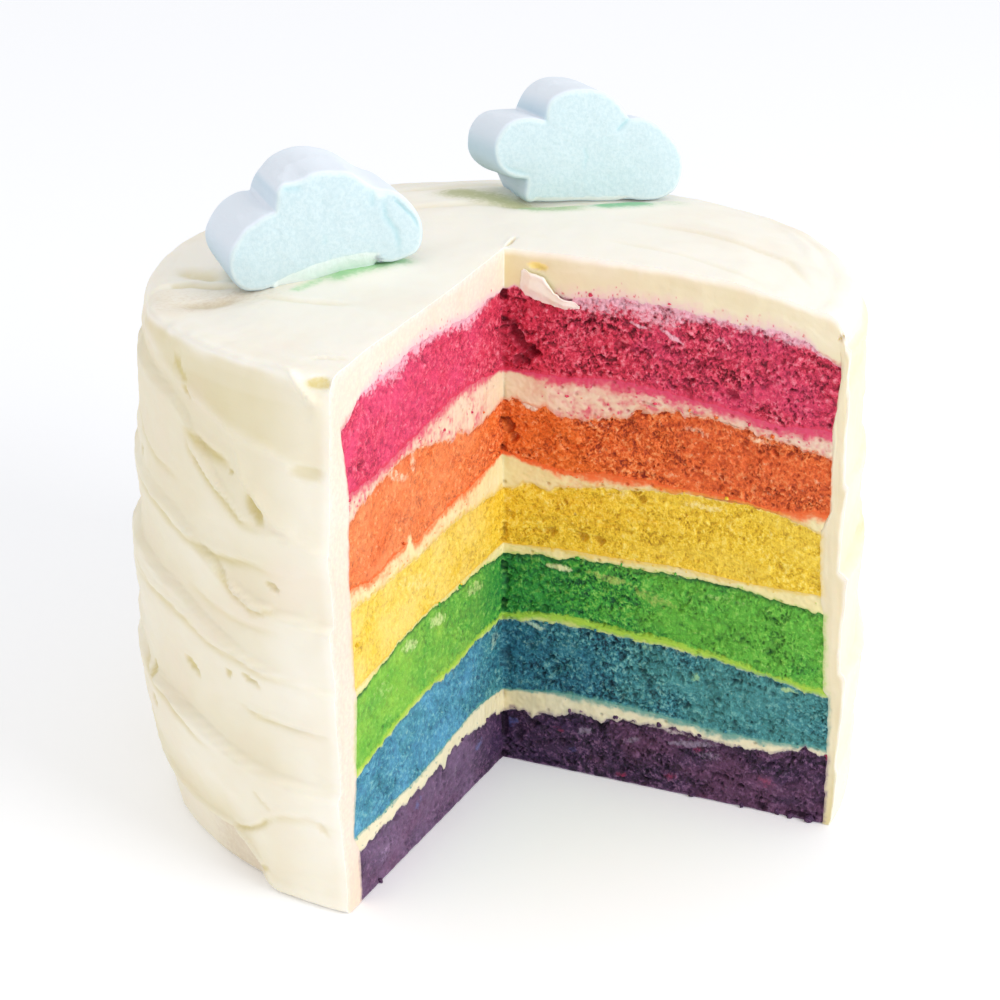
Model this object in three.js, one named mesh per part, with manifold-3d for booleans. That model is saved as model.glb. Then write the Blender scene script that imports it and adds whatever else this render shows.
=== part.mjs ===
// Rainbow layer cake with a quarter cut out and two marshmallow clouds on top.
// Millimetres, +Z up. The origin is on the cake's axis, at the level it stands on.
// Azimuths run in degrees from +X. The quarter that is missing runs from 270 to 360, so the right
// cut face lies in the plane y = 0 and the left cut face in the plane x = 0.
import * as THREE from 'three';
import { mergeVertices } from 'three/addons/utils/BufferGeometryUtils.js';
import Module from 'manifold-3d';

const wasm = await Module();
wasm.setup();

const leftCut = 270; // azimuth of the left cut face; the right one is at 0
const clearance = 0.3; // gap between pieces that touch
const beyond = 150; // reach of the cutting box past everything
const sliver = 0.05; // triangles thinner than this are dropped after a cut

// Sponges from the bottom up. floor and crown are heights at the centre, halfway out, and at the
// edge by the left and the right cut face. edge is the radius by the left and the right cut face.
const sponges = [
  { name: 'purple', floor: [0, 0, 0, 0], crown: [16, 20, 16, 21], edge: [96.5, 103.2], colour: 0x7d5785 },
  { name: 'blue', floor: [24, 24, 21, 24], crown: [46.8, 47.2, 39.2, 41.8], edge: [98, 102.4], colour: 0x4d97ad },
  { name: 'green', floor: [49, 49.5, 41.5, 44], crown: [68.7, 70.3, 63, 67.2], edge: [96, 101.5], colour: 0x6cbf3c },
  { name: 'yellow', floor: [72, 72.6, 66, 72.6], crown: [90, 93, 90, 92.5], edge: [97, 99.5], colour: 0xefcb52 },
  { name: 'orange', floor: [101, 98, 96, 98], crown: [118, 120, 115.5, 115.5], edge: [98, 100.6], colour: 0xea7a42 },
  { name: 'pink', floor: [127, 128, 123, 123], crown: [152, 153, 146, 146.5], edge: [100, 101.9], colour: 0xe04a78 },
];
const spongeSteps = 24; // facets round the three quarters that are left
const discShares = [0, 0.34, 0.68, 1]; // rings of a disc, as shares of its radius
const wobble = 0.4; // unevenness of the sponges' heights at their edge
const topShoulder = 6; // rounding of the top sponge's upper edge

// Icing coat: outer radius at five heights, by the right cut face, on the far left side and by the
// left cut face, where it is thickest.
const coatSteps = 72;
const coatHeights = [0, 35, 75, 112, 150];
const coatStations = [
  { azimuth: 0, radii: [106, 107.5, 105.8, 105, 103] },
  { azimuth: 213, radii: [105.5, 108.6, 109, 107, 103.5] },
  { azimuth: 270, radii: [104.5, 107.5, 109.2, 110.5, 107.5] },
];
// Ridges that the palette knife left on the side, from the top down. Each runs round the cake at
// its height and drops by dip towards the left cut face, and wanders up and down on its way.
const ridges = [
  { height: 133, dip: 21, wander: 7, phase: 20 },
  { height: 103, dip: 12, wander: 6, phase: 35 },
  { height: 77, dip: 7, wander: 8, phase: 15 },
  { height: 45, dip: 5, wander: 4, phase: 50 },
];
const ridgeDepth = 2.8; // how far the lip below a ridge stands out from the hollow above it
const ridgeStep = 2.5; // height over which the lip rises
const bandShares = [0.36, 0.7, 1]; // levels between two ridges
const dipFrom = 236;
const dipTo = 258;
// The foot is set back under the lowest band, except by the cut faces. least is its lowest height.
const coatFoot = { height: 17, recess: 3.6, wander: 3, least: 3, fadeIn: [40, 130], fadeOut: [238, 262] };
const coatThinnest = 2.4;
const rimRounding = 9;
const rimSteps = 4;

// Top of the icing: heights at shares of the radius, by the right and by the left cut face.
const topShares = [0, 0.2, 0.4, 0.58, 0.74, 0.88, 1];
const topRight = [164, 164, 163.6, 163.2, 162.4, 160.2, 157.4];
const topLeft = [164, 162.8, 161.7, 161, 160.4, 159.8, 158.8];
const topSwirl = 0.7; // height of the knife's arcs on the top
const topTrough = { azimuth: 222, radius: 90, depth: 2.2, widthAzimuth: 16, widthRadius: 11 };

// Marshmallow clouds: lobes as centre along, centre up, radius and thickness, and a bar as the base.
// at is the lower left front corner, turn is about Z, roll lifts the right end, lean tips it back.
const clouds = [
  {
    name: 'marshmallow_cloud_left',
    at: [-52.2, -57.2, 159.8], turn: 43.5, roll: 5.5, lean: 4,
    lobes: [[7, 11.3, 11.8, 26.5], [24.6, 19.8, 12.6, 26], [41.3, 9.9, 12.1, 25.4]],
    bar: { from: 6, to: 43, height: 12, thickness: 25.8 },
  },
  {
    name: 'marshmallow_cloud_right',
    at: [-15.2, 52.5, 162.8], turn: 45.5, roll: -4.6, lean: 6,
    lobes: [[-0.8, 16, 10.4, 24], [17.4, 23.4, 12.8, 24.6], [35.6, 12.7, 13.6, 24.2]],
    bar: { from: -0.5, to: 38, height: 13, thickness: 23.6 },
  },
];
const cloudRounding = 3;
const lobeSteps = 18;
const roundingSteps = 2;

const colours = { icing: 0xf5ecd6, filling: 0xf3e6bd, cloud: 0xd4eef2 };

const radians = (degrees) => (degrees * Math.PI) / 180;
const wave = (degrees) => Math.sin(radians(degrees));
const mix = (from, to, share) => from + (to - from) * share;

function smoothStep(from, to, value) {
  const share = Math.min(1, Math.max(0, (value - from) / (to - from)));
  return share * share * (3 - 2 * share);
}

// Value at a place on a broken line given by two lists, flat past its ends.
function along(places, values, place) {
  if (place <= places[0]) return values[0];
  for (let i = 1; i < places.length; i += 1) {
    if (place <= places[i]) {
      const share = (place - places[i - 1]) / (places[i] - places[i - 1]);
      return mix(values[i - 1], values[i], share);
    }
  }
  return values[values.length - 1];
}

// Azimuths in the missing quarter take the values of the nearer cut face.
function overCake(azimuth) {
  if (azimuth < 0 || azimuth > 315) return 0;
  return Math.min(azimuth, leftCut);
}

const leftShare = (azimuth) => smoothStep(0, leftCut, overCake(azimuth));

// Height of a sponge's floor or crown, on a parabola through its centre, middle and edge.
function layerHeight(heights, share, azimuth, unevenness) {
  const [centre, middle, edgeLeft, edgeRight] = heights;
  const edge = mix(edgeRight, edgeLeft, leftShare(azimuth)) + unevenness * wave(3 * azimuth + 100 * share);
  return centre * (1 - share) * (1 - 2 * share) + middle * 4 * share * (1 - share) + edge * share * (2 * share - 1);
}

const floorHeight = (index, share, azimuth) =>
  layerHeight(sponges[index].floor, share, azimuth, index === 0 ? 0 : wobble);
const crownHeight = (index, share, azimuth) => layerHeight(sponges[index].crown, share, azimuth, wobble);

// The wall between the sponges and the coat passes through each sponge's edge at half its height.
const waistHeight = (index, azimuth) =>
  (floorHeight(index, 1, azimuth) + crownHeight(index, 1, azimuth)) / 2;
const waistRadius = (index, azimuth) =>
  mix(sponges[index].edge[1], sponges[index].edge[0], leftShare(azimuth));

function wallRadius(height, azimuth) {
  const places = sponges.map((sponge, index) => waistHeight(index, azimuth));
  const radii = sponges.map((sponge, index) => waistRadius(index, azimuth));
  return along(places, radii, height);
}

// Azimuths of a turned solid's meridians: even steps over the cake, half a step past each cut, and
// two more to close the ring in the missing quarter.
function meridians(steps) {
  const step = leftCut / steps;
  const list = [];
  for (let i = 0; i <= steps + 1; i += 1) list.push((i - 0.5) * step);
  list.push(300, 330, 360 - 0.5 * step);
  return list;
}

// A closed solid turned about the axis, whose profile changes with the azimuth. The profile is a
// list of (radius, height) that runs from the axis, under the solid, up its outside and back.
function turnedSolid(profileAt, steps) {
  const azimuths = meridians(steps);
  const profiles = azimuths.map(profileAt);
  const geometry = new THREE.LatheGeometry(profiles[0], azimuths.length - 1);
  const place = geometry.attributes.position;
  profiles.forEach((profile, turn) => {
    const angle = radians(azimuths[turn]);
    profile.forEach(({ x: radius, y: height }, i) => {
      const index = turn * profile.length + i;
      place.setXYZ(index, radius * Math.cos(angle), radius * Math.sin(angle), height);
    });
  });
  return toManifold(geometry);
}

function toManifold(geometry) {
  geometry.deleteAttribute('normal');
  geometry.deleteAttribute('uv');
  const merged = mergeVertices(geometry, 1e-4);
  const corners = merged.index.array;
  const kept = [];
  for (let i = 0; i < corners.length; i += 3) {
    const [a, b, c] = corners.slice(i, i + 3);
    if (a !== b && b !== c && c !== a) kept.push(a, b, c);
  }
  return new wasm.Manifold(new wasm.Mesh({
    numProp: 3,
    vertProperties: new Float32Array(merged.attributes.position.array),
    triVerts: new Uint32Array(kept),
  }));
}

function toMesh(solid, name, colour, roughness) {
  const { vertProperties, triVerts } = solid.simplify(sliver).getMesh();
  const geometry = new THREE.BufferGeometry();
  geometry.setAttribute('position', new THREE.BufferAttribute(new Float32Array(vertProperties), 3));
  geometry.setIndex(new THREE.BufferAttribute(new Uint32Array(triVerts), 1));
  geometry.computeVertexNormals();
  const material = new THREE.MeshStandardMaterial({ color: colour, roughness, metalness: 0 });
  const mesh = new THREE.Mesh(geometry, material);
  mesh.name = name;
  return mesh;
}

// The slice that has been taken out.
function slice() {
  const box = new THREE.BoxGeometry(beyond, beyond, 3 * beyond);
  box.translate(beyond / 2, -beyond / 2, beyond);
  return toManifold(box);
}

const point = (radius, height) => new THREE.Vector2(radius, height);

// A sponge layer: domed floor and crown, its edge on the wall.
function sponge(index) {
  const isTop = index === sponges.length - 1;
  return turnedSolid((azimuth) => {
    const floorEdge = wallRadius(floorHeight(index, 1, azimuth), azimuth);
    const crownEdge = wallRadius(crownHeight(index, 1, azimuth), azimuth);
    const under = discShares.map((share) => point(share * floorEdge, floorHeight(index, share, azimuth)));
    const waist = [point(waistRadius(index, azimuth), waistHeight(index, azimuth))];
    const over = isTop
      ? shoulderProfile(azimuth, 0)
      : discShares.map((share) => point(share * crownEdge, crownHeight(index, share, azimuth)));
    return [...under, ...waist, ...over.reverse()];
  }, spongeSteps);
}

// The top sponge's crown from the axis out, with its rounded edge, grown by a gap.
function shoulderProfile(azimuth, gap) {
  const index = sponges.length - 1;
  const outer = waistRadius(index, azimuth);
  const flat = outer - topShoulder;
  const crown = discShares.map((share) => point(share * flat, crownHeight(index, share, azimuth) + gap));
  const edgeHeight = crown[crown.length - 1].y;
  const rounding = topShoulder + gap;
  for (const angle of [45, 90]) {
    const height = edgeHeight - rounding * (1 - Math.cos(radians(angle)));
    crown.push(point(flat + rounding * Math.sin(radians(angle)), height));
  }
  return crown;
}

// The filling on top of a sponge, out to the wall.
function filling(index) {
  return turnedSolid((azimuth) => {
    const low = (share) => crownHeight(index, share, azimuth) + clearance;
    const high = (share) => floorHeight(index + 1, share, azimuth) - clearance;
    const lowEdge = wallRadius(low(1), azimuth);
    const highEdge = wallRadius(high(1), azimuth);
    const under = discShares.map((share) => point(share * lowEdge, low(share)));
    const over = discShares.map((share) => point(share * highEdge, high(share)));
    return [...under, ...over.reverse()];
  }, spongeSteps);
}

// Outer radius of the coat before the knife's ridges.
function coatRadius(height, azimuth) {
  const places = coatStations.map((station) => station.azimuth);
  const radii = coatStations.map((station) => along(coatHeights, station.radii, height));
  return along(places, radii, overCake(azimuth));
}

function ridgeHeight({ height, dip, wander, phase }, azimuth) {
  const at = overCake(azimuth);
  return height - dip * smoothStep(dipFrom, dipTo, at) + wander * wave(2 * at + phase);
}

// Ridges differ in depth along their way and from each other.
const ridgeStrength = (ridge, azimuth) =>
  ridgeDepth * (0.72 + 0.28 * wave(3.3 * overCake(azimuth) + 7 * ridge.phase));

function footHeight(azimuth) {
  const at = overCake(azimuth);
  const waved = coatFoot.height + coatFoot.wander * wave(4 * at);
  return mix(waved, coatFoot.least, smoothStep(...coatFoot.fadeOut, at));
}

function footRecess(azimuth) {
  const at = overCake(azimuth);
  return coatFoot.recess * smoothStep(...coatFoot.fadeIn, at) * (1 - smoothStep(...coatFoot.fadeOut, at));
}

// Height of the coat's top at a share of its flat radius.
function topHeight(share, azimuth, radius) {
  const at = overCake(azimuth);
  const level = mix(along(topShares, topRight, share), along(topShares, topLeft, share), leftShare(azimuth));
  const swirl = topSwirl * share * wave(2 * at + 2.4 * radius) * smoothStep(1, 0.8, share);
  const acrossAzimuth = (at - topTrough.azimuth) / topTrough.widthAzimuth;
  const acrossRadius = (radius - topTrough.radius) / topTrough.widthRadius;
  const trough = topTrough.depth * Math.exp(-(acrossAzimuth ** 2) - acrossRadius ** 2);
  return level + swirl - trough;
}

// The coat's side from the floor up: a foot set back, then a band between each two ridges, hollow
// at its lower edge and standing out in a lip at its upper edge.
function coatSide(azimuth, rimHeight) {
  const foot = footHeight(azimuth);
  const setBack = footRecess(azimuth);
  const least = waistRadius(0, azimuth) + coatThinnest;
  const side = [
    point(Math.max(least, coatRadius(0, azimuth) - setBack), 0),
    point(Math.max(least, coatRadius(foot, azimuth) - 0.6 * setBack), 0.75 * foot),
    point(coatRadius(foot, azimuth), foot),
  ];
  const climbing = [...ridges].reverse();
  const lines = [foot, ...climbing.map((ridge) => ridgeHeight(ridge, azimuth)), rimHeight];
  for (let band = 1; band < lines.length; band += 1) {
    const low = lines[band - 1];
    const high = lines[band];
    const below = band === 1 ? 0.5 * ridgeDepth : ridgeStrength(climbing[band - 2], azimuth);
    const above = band === lines.length - 1 ? 0 : ridgeStrength(climbing[band - 1], azimuth);
    const start = low + ridgeStep;
    side.push(point(coatRadius(start, azimuth) - below / 2, start));
    for (const share of bandShares) {
      const height = mix(start, high, share);
      const relief = mix(-below / 2, above / 2, share ** 1.4);
      side.push(point(coatRadius(height, azimuth) + relief, height));
    }
  }
  return side;
}

// The icing coat: a cup turned upside down over the sponges, open underneath.
function coat() {
  return turnedSolid((azimuth) => {
    const ceiling = shoulderProfile(azimuth, clearance);
    const wall = sponges.map((sponge, index) =>
      point(waistRadius(index, azimuth) + clearance, waistHeight(index, azimuth)));
    wall.unshift(point(wall[0].x, 0));
    const rimRadius = coatRadius(coatHeights[coatHeights.length - 1], azimuth);
    const flatRadius = rimRadius - rimRounding;
    const rimHeight = topHeight(1, azimuth, flatRadius) - rimRounding;
    const side = coatSide(azimuth, rimHeight);
    const rim = [];
    for (let i = 1; i < rimSteps; i += 1) {
      const angle = radians((90 * i) / rimSteps);
      rim.push(point(flatRadius + rimRounding * Math.cos(angle), rimHeight + rimRounding * Math.sin(angle)));
    }
    const top = topShares.map((share) =>
      point(share * flatRadius, topHeight(share, azimuth, share * flatRadius)));
    return [...ceiling, ...wall.reverse(), ...side, ...rim, ...top.reverse()];
  }, coatSteps);
}

// A disc with rounded edges, standing on its rim with its flat faces to the front and the back.
function lobe([alongX, up, radius, thickness], grown) {
  const outer = radius + grown;
  const half = thickness / 2 + grown;
  const corner = [];
  for (let i = 0; i <= roundingSteps; i += 1) {
    const angle = radians((90 * i) / roundingSteps);
    const across = outer - cloudRounding * (1 - Math.sin(angle));
    corner.push(point(across, half - cloudRounding * (1 - Math.cos(angle))));
  }
  const front = corner.map(({ x, y }) => point(x, -y));
  const geometry = new THREE.LatheGeometry([point(0, -half), ...front, ...corner.reverse(), point(0, half)], lobeSteps);
  geometry.translate(alongX, thickness / 2, up);
  return geometry;
}

// The bar that joins the lobes along the bottom, with its long edges rounded off.
function bar({ from, to, height, thickness }, grown) {
  const low = -grown;
  const high = height;
  const soft = cloudRounding / 2;
  const half = thickness / 2 + grown;
  const outline = new THREE.Shape();
  outline.moveTo(-half + soft, low);
  outline.lineTo(half - soft, low);
  outline.quadraticCurveTo(half, low, half, low + soft);
  outline.lineTo(half, high);
  outline.lineTo(-half, high);
  outline.lineTo(-half, low + soft);
  outline.quadraticCurveTo(-half, low, -half + soft, low);
  const length = to - from + 2 * grown;
  const geometry = new THREE.ExtrudeGeometry(outline, { depth: length, bevelEnabled: false, curveSegments: 2 });
  geometry.applyMatrix4(new THREE.Matrix4().makeBasis(
    new THREE.Vector3(0, 1, 0), new THREE.Vector3(0, 0, 1), new THREE.Vector3(1, 0, 0)));
  geometry.translate(from - grown, thickness / 2, 0);
  return geometry;
}

function cloudSolid({ lobes, bar: base }, grown) {
  let solid = toManifold(bar(base, grown));
  for (const each of lobes) solid = solid.add(toManifold(lobe(each, grown)));
  return solid;
}

function cloudPlace({ at, turn, roll, lean }) {
  const angles = new THREE.Euler(radians(-lean), radians(-roll), radians(turn), 'ZYX');
  return new THREE.Matrix4().makeRotationFromEuler(angles).setPosition(...at);
}

const cake = new THREE.Group();
const missingSlice = slice();

sponges.forEach(({ name, colour }, index) => {
  cake.add(toMesh(sponge(index).subtract(missingSlice), `sponge_${name}`, colour, 0.95));
});
for (let index = 0; index < sponges.length - 1; index += 1) {
  const layer = filling(index).subtract(missingSlice);
  cake.add(toMesh(layer, `filling_${index + 1}`, colours.filling, 0.6));
}

let icing = coat().subtract(missingSlice);
for (const cloud of clouds) {
  const place = cloudPlace(cloud);
  icing = icing.subtract(cloudSolid(cloud, clearance).transform(place.elements));
  const mesh = toMesh(cloudSolid(cloud, 0), cloud.name, colours.cloud, 0.9);
  mesh.applyMatrix4(place);
  cake.add(mesh);
}
cake.add(toMesh(icing, 'icing_coat', colours.icing, 0.55));

export default cake;
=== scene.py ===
import math
import bpy
import numpy as np
from mathutils import Euler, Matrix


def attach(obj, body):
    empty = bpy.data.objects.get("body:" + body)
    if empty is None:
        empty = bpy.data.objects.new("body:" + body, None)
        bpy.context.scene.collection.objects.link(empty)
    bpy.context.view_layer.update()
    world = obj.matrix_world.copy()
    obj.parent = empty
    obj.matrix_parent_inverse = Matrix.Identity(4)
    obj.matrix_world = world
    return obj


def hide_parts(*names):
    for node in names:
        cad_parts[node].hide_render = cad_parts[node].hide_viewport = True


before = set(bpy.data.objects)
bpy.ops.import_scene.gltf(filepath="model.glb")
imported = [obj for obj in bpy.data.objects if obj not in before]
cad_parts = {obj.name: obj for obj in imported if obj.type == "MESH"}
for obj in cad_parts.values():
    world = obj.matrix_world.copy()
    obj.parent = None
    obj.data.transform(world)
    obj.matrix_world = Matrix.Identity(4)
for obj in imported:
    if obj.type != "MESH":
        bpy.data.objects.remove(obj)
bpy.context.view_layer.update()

# Rainbow layer cake with a quarter cut out and two marshmallow clouds on top.
# Lengths are millimetres here and become metres when a mesh is made. Azimuths are degrees from +X.
# The cake lies between azimuth 0, its right cut face, and 270, its left cut face. On both faces
# "across" is the distance from the cake's axis and "up" is the height.

millimetre = 0.001
cutAzimuths = {"left": 270.0, "right": 0.0}


# Small sums

def mix(low, high, share):
    return low + (high - low) * share


def smoothStep(start, end, value):
    share = np.clip((value - start) / (end - start), 0, 1)
    return share * share * (3 - 2 * share)


def smoothAlong(places, values, at):
    # smooth curve through a short list of values, flat past its ends
    places = np.asarray(places, float)
    values = np.asarray(values, float)
    slopes = np.gradient(values, places)
    at = np.clip(at, places[0], places[-1])
    index = np.clip(np.searchsorted(places, at, side="right") - 1, 0, len(places) - 2)
    step = places[index + 1] - places[index]
    share = (at - places[index]) / step
    low, high = values[index], values[index + 1]
    bend = share * (1 - share)
    return mix(low, high, share * share * (3 - 2 * share)) + bend * step * (
        (1 - share) * slopes[index] - share * slopes[index + 1])


def linear(colour):
    # "#rrggbb" to the linear values that shaders work in
    parts = [int(colour[i:i + 2], 16) / 255 for i in (1, 3, 5)]
    return tuple(part / 12.92 if part < 0.04045 else ((part + 0.055) / 1.055) ** 2.4 for part in parts)


# Random fields, the same on every run

def hashed(column, row, seed):
    mixed = column * 374761393 + row * 668265263 + seed * 974634777
    mixed = (mixed ^ (mixed >> 13)) * 1274126177
    mixed = (mixed ^ (mixed >> 16)) & 0xFFFFFF
    return mixed / 0xFFFFFF


def softNoise(x, y, seed):
    x, y = np.broadcast_arrays(np.asarray(x, float), np.asarray(y, float))
    column, row = np.floor(x).astype(np.int64), np.floor(y).astype(np.int64)
    easeX, easeY = x - column, y - row
    easeX = easeX * easeX * (3 - 2 * easeX)
    easeY = easeY * easeY * (3 - 2 * easeY)
    low = mix(hashed(column, row, seed), hashed(column + 1, row, seed), easeX)
    high = mix(hashed(column, row + 1, seed), hashed(column + 1, row + 1, seed), easeX)
    return 2 * mix(low, high, easeY) - 1


def layeredNoise(x, y, seed, layers=3):
    total = 0
    for layer in range(layers):
        turn = 0.6 + layer
        turnedX = x * math.cos(turn) - y * math.sin(turn)
        turnedY = x * math.sin(turn) + y * math.cos(turn)
        total = total + softNoise(turnedX * 2 ** layer, turnedY * 2 ** layer, seed + layer) * 0.55 ** layer
    return total / 1.6


def cells(x, y, seed, jitter=0.9):
    # distances to the nearest and the next of scattered points, and the nearest one's own number
    column, row = np.floor(x).astype(np.int64), np.floor(y).astype(np.int64)
    nearest = np.full(x.shape, 9.0)
    following = np.full(x.shape, 9.0)
    own = np.zeros(x.shape)
    for stepX in (-1, 0, 1):
        for stepY in (-1, 0, 1):
            cellX, cellY = column + stepX, row + stepY
            pointX = cellX + 0.5 + jitter * (hashed(cellX, cellY, seed) - 0.5)
            pointY = cellY + 0.5 + jitter * (hashed(cellX, cellY, seed + 7) - 0.5)
            distance = np.hypot(pointX - x, pointY - y)
            closer = distance < nearest
            following = np.where(closer, nearest, np.minimum(following, distance))
            own = np.where(closer, hashed(cellX, cellY, seed + 13), own)
            nearest = np.where(closer, distance, nearest)
    return nearest, following, own


def spot(x, y, mark):
    # 1 in the middle of an oval mark, 0 at its edge and below 0 outside
    atX, atY, halfX, halfY, *turn = mark
    angle = math.radians(turn[0]) if turn else 0
    alongX = (x - atX) * math.cos(angle) + (y - atY) * math.sin(angle)
    alongY = (y - atY) * math.cos(angle) - (x - atX) * math.sin(angle)
    return 1 - (alongX / halfX) ** 2 - (alongY / halfY) ** 2


# Meshes

class Shell:
    # the points, triangles and painted values of one piece, gathered until its mesh is made
    painted = ("grain", "pore", "stain", "hollow", "tone", "haze")

    def __init__(self):
        self.places = []
        self.triangles = []
        self.groups = []
        self.values = {name: [] for name in self.painted}
        self.stainColours = []
        self.count = 0

    def addPoints(self, places, stainColour=(0, 0, 0), **values):
        shape = places.shape[:-1]
        total = int(np.prod(shape))
        self.places.append(places.reshape(-1, 3))
        for name in self.painted:
            self.values[name].append(np.broadcast_to(values.get(name, 0.0), shape).reshape(-1))
        self.stainColours.append(np.broadcast_to(stainColour, shape + (3,)).reshape(-1, 3))
        self.count += total
        return np.arange(self.count - total, self.count).reshape(shape)

    def addTriangles(self, corners, group):
        corners = np.asarray(corners, np.int64).reshape(-1, 3)
        a, b, c = corners.T
        corners = corners[(a != b) & (b != c) & (c != a)]
        self.triangles.append(corners)
        self.groups.append(np.full(len(corners), group))

    def addGrid(self, indexes, group, flip=False):
        if flip:
            indexes = indexes.T
        a, b = indexes[:-1, :-1], indexes[1:, :-1]
        c, d = indexes[1:, 1:], indexes[:-1, 1:]
        odd = (np.add.outer(np.arange(a.shape[0]), np.arange(a.shape[1])) % 2 == 1)[..., None]
        first = np.where(odd, np.stack([a, b, c], -1), np.stack([a, b, d], -1))
        second = np.where(odd, np.stack([a, c, d], -1), np.stack([b, c, d], -1))
        self.addTriangles(first, group)
        self.addTriangles(second, group)

    def stitch(self, first, second, firstShares, secondShares, group):
        # triangles between two rows of points that run beside each other
        corners = []
        i = j = 0
        while i < len(first) - 1 or j < len(second) - 1:
            firstMoves = j == len(second) - 1 or (
                i < len(first) - 1 and firstShares[i + 1] <= secondShares[j + 1])
            if firstMoves:
                corners.append((first[i], second[j], first[i + 1]))
                i += 1
            else:
                corners.append((first[i], second[j], second[j + 1]))
                j += 1
        self.addTriangles(corners, group)

    def make(self, name, material, slotName, *nodes):
        places = np.concatenate(self.places) * millimetre
        triangles = np.concatenate(self.triangles)
        groups = np.concatenate(self.groups)
        mesh = bpy.data.meshes.new(name)
        mesh.vertices.add(len(places))
        mesh.vertices.foreach_set("co", places.ravel())
        mesh.loops.add(triangles.size)
        mesh.loops.foreach_set("vertex_index", triangles.ravel())
        mesh.polygons.add(len(triangles))
        mesh.polygons.foreach_set("loop_start", np.arange(0, triangles.size, 3))
        mesh.update(calc_edges=True)
        mesh.polygons.foreach_set("use_smooth", np.ones(len(triangles), bool))
        self.sharpenBetweenGroups(mesh, np.repeat(groups, 3))
        for valueName, parts in self.values.items():
            layer = mesh.attributes.new(valueName, "FLOAT", "POINT")
            layer.data.foreach_set("value", np.concatenate(parts).astype(np.float32))
        colours = np.concatenate(self.stainColours)
        colours = np.hstack([colours, np.ones((len(colours), 1))])
        layer = mesh.attributes.new("stainColour", "FLOAT_COLOR", "POINT")
        layer.data.foreach_set("color", colours.astype(np.float32).ravel())
        mesh.materials.append(material)
        piece = bpy.data.objects.new(name, mesh)
        bpy.context.scene.collection.objects.link(piece)
        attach(piece, "root")
        if nodes:
            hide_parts(*nodes)
        print(f"made {name}: {len(triangles)} triangles")
        return piece

    def sharpenBetweenGroups(self, mesh, loopGroups):
        loopEdges = np.empty(len(mesh.loops), np.int32)
        mesh.loops.foreach_get("edge_index", loopEdges)
        lowest = np.full(len(mesh.edges), 99)
        highest = np.full(len(mesh.edges), -1)
        np.minimum.at(lowest, loopEdges, loopGroups)
        np.maximum.at(highest, loopEdges, loopGroups)
        layer = mesh.attributes.new("sharp_edge", "BOOLEAN", "EDGE")
        layer.data.foreach_set("value", lowest != highest)


def onFace(side, across, up, depth):
    # a place on a cut face, sunk into the cake by depth
    if side == "left":
        return np.stack([-depth, -across, up], -1)
    return np.stack([across, depth, up], -1)


def aroundAxis(radius, azimuth, up):
    angle = np.radians(azimuth)
    return np.stack(np.broadcast_arrays(radius * np.cos(angle), radius * np.sin(angle), up), -1)


# Shader nodes

def newMaterial(name):
    material = bpy.data.materials.new(name)
    material.use_nodes = True
    tree = material.node_tree
    tree.nodes.clear()
    output = tree.nodes.new("ShaderNodeOutputMaterial")
    shader = tree.nodes.new("ShaderNodeBsdfPrincipled")
    tree.links.new(shader.outputs["BSDF"], output.inputs["Surface"])
    return material, tree, shader


def setInput(tree, socket, value):
    if isinstance(value, bpy.types.NodeSocket):
        tree.links.new(value, socket)
    elif isinstance(value, tuple) and len(value) == 3 and socket.type == "RGBA":
        socket.default_value = value + (1,)
    else:
        socket.default_value = value


def sum2(tree, kind, first, second):
    node = tree.nodes.new("ShaderNodeMath")
    node.operation = kind
    setInput(tree, node.inputs[0], first)
    setInput(tree, node.inputs[1], second)
    return node.outputs[0]


def noiseNode(tree, scale, detail=2.0, roughness=0.55, stretch=None):
    place = tree.nodes.new("ShaderNodeTexCoord").outputs["Object"]
    if stretch:
        mapping = tree.nodes.new("ShaderNodeMapping")
        tree.links.new(place, mapping.inputs["Vector"])
        mapping.inputs["Scale"].default_value = stretch
        place = mapping.outputs["Vector"]
    node = tree.nodes.new("ShaderNodeTexNoise")
    tree.links.new(place, node.inputs["Vector"])
    node.inputs["Scale"].default_value = scale
    node.inputs["Detail"].default_value = detail
    node.inputs["Roughness"].default_value = roughness
    return node.outputs["Fac"]


def paintedValue(tree, name, output="Fac"):
    node = tree.nodes.new("ShaderNodeAttribute")
    node.attribute_name = name
    return node.outputs[output]


def rangeNode(tree, value, start, end, low=0.0, high=1.0):
    node = tree.nodes.new("ShaderNodeMapRange")
    node.interpolation_type = "SMOOTHSTEP"
    setInput(tree, node.inputs["Value"], value)
    for socket, number in zip(("From Min", "From Max", "To Min", "To Max"), (start, end, low, high)):
        node.inputs[socket].default_value = number
    return node.outputs["Result"]


def mixColours(tree, share, first, second):
    node = tree.nodes.new("ShaderNodeMix")
    node.data_type = "RGBA"
    setInput(tree, node.inputs[0], share)
    setInput(tree, node.inputs[6], first)
    setInput(tree, node.inputs[7], second)
    return node.outputs[2]


def bumpNode(tree, height, strength, distance):
    node = tree.nodes.new("ShaderNodeBump")
    node.inputs["Strength"].default_value = strength
    node.inputs["Distance"].default_value = distance * millimetre
    tree.links.new(height, node.inputs["Height"])
    return node.outputs["Normal"]


# Where a stain's edge falls: broken up by a noise, so that crumb and icing mix in grains
def speckledStain(tree, noise, speckle, most):
    grains = sum2(tree, "MULTIPLY", sum2(tree, "SUBTRACT", noise, 0.5), speckle * 2)
    return rangeNode(tree, sum2(tree, "ADD", paintedValue(tree, "stain"), grains), 0.15, 0.95, 0, most)


# Camera and studio

cameraView = {
    "azimuth": 24.46,       # turned round the cake from straight on the right cut face
    "pitch": 21.97,         # looking down
    "distance": 792.9,
    "lens": 95.83,
    "aimUp": 85.8,
    "aimAcross": -1.1,
}


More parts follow.
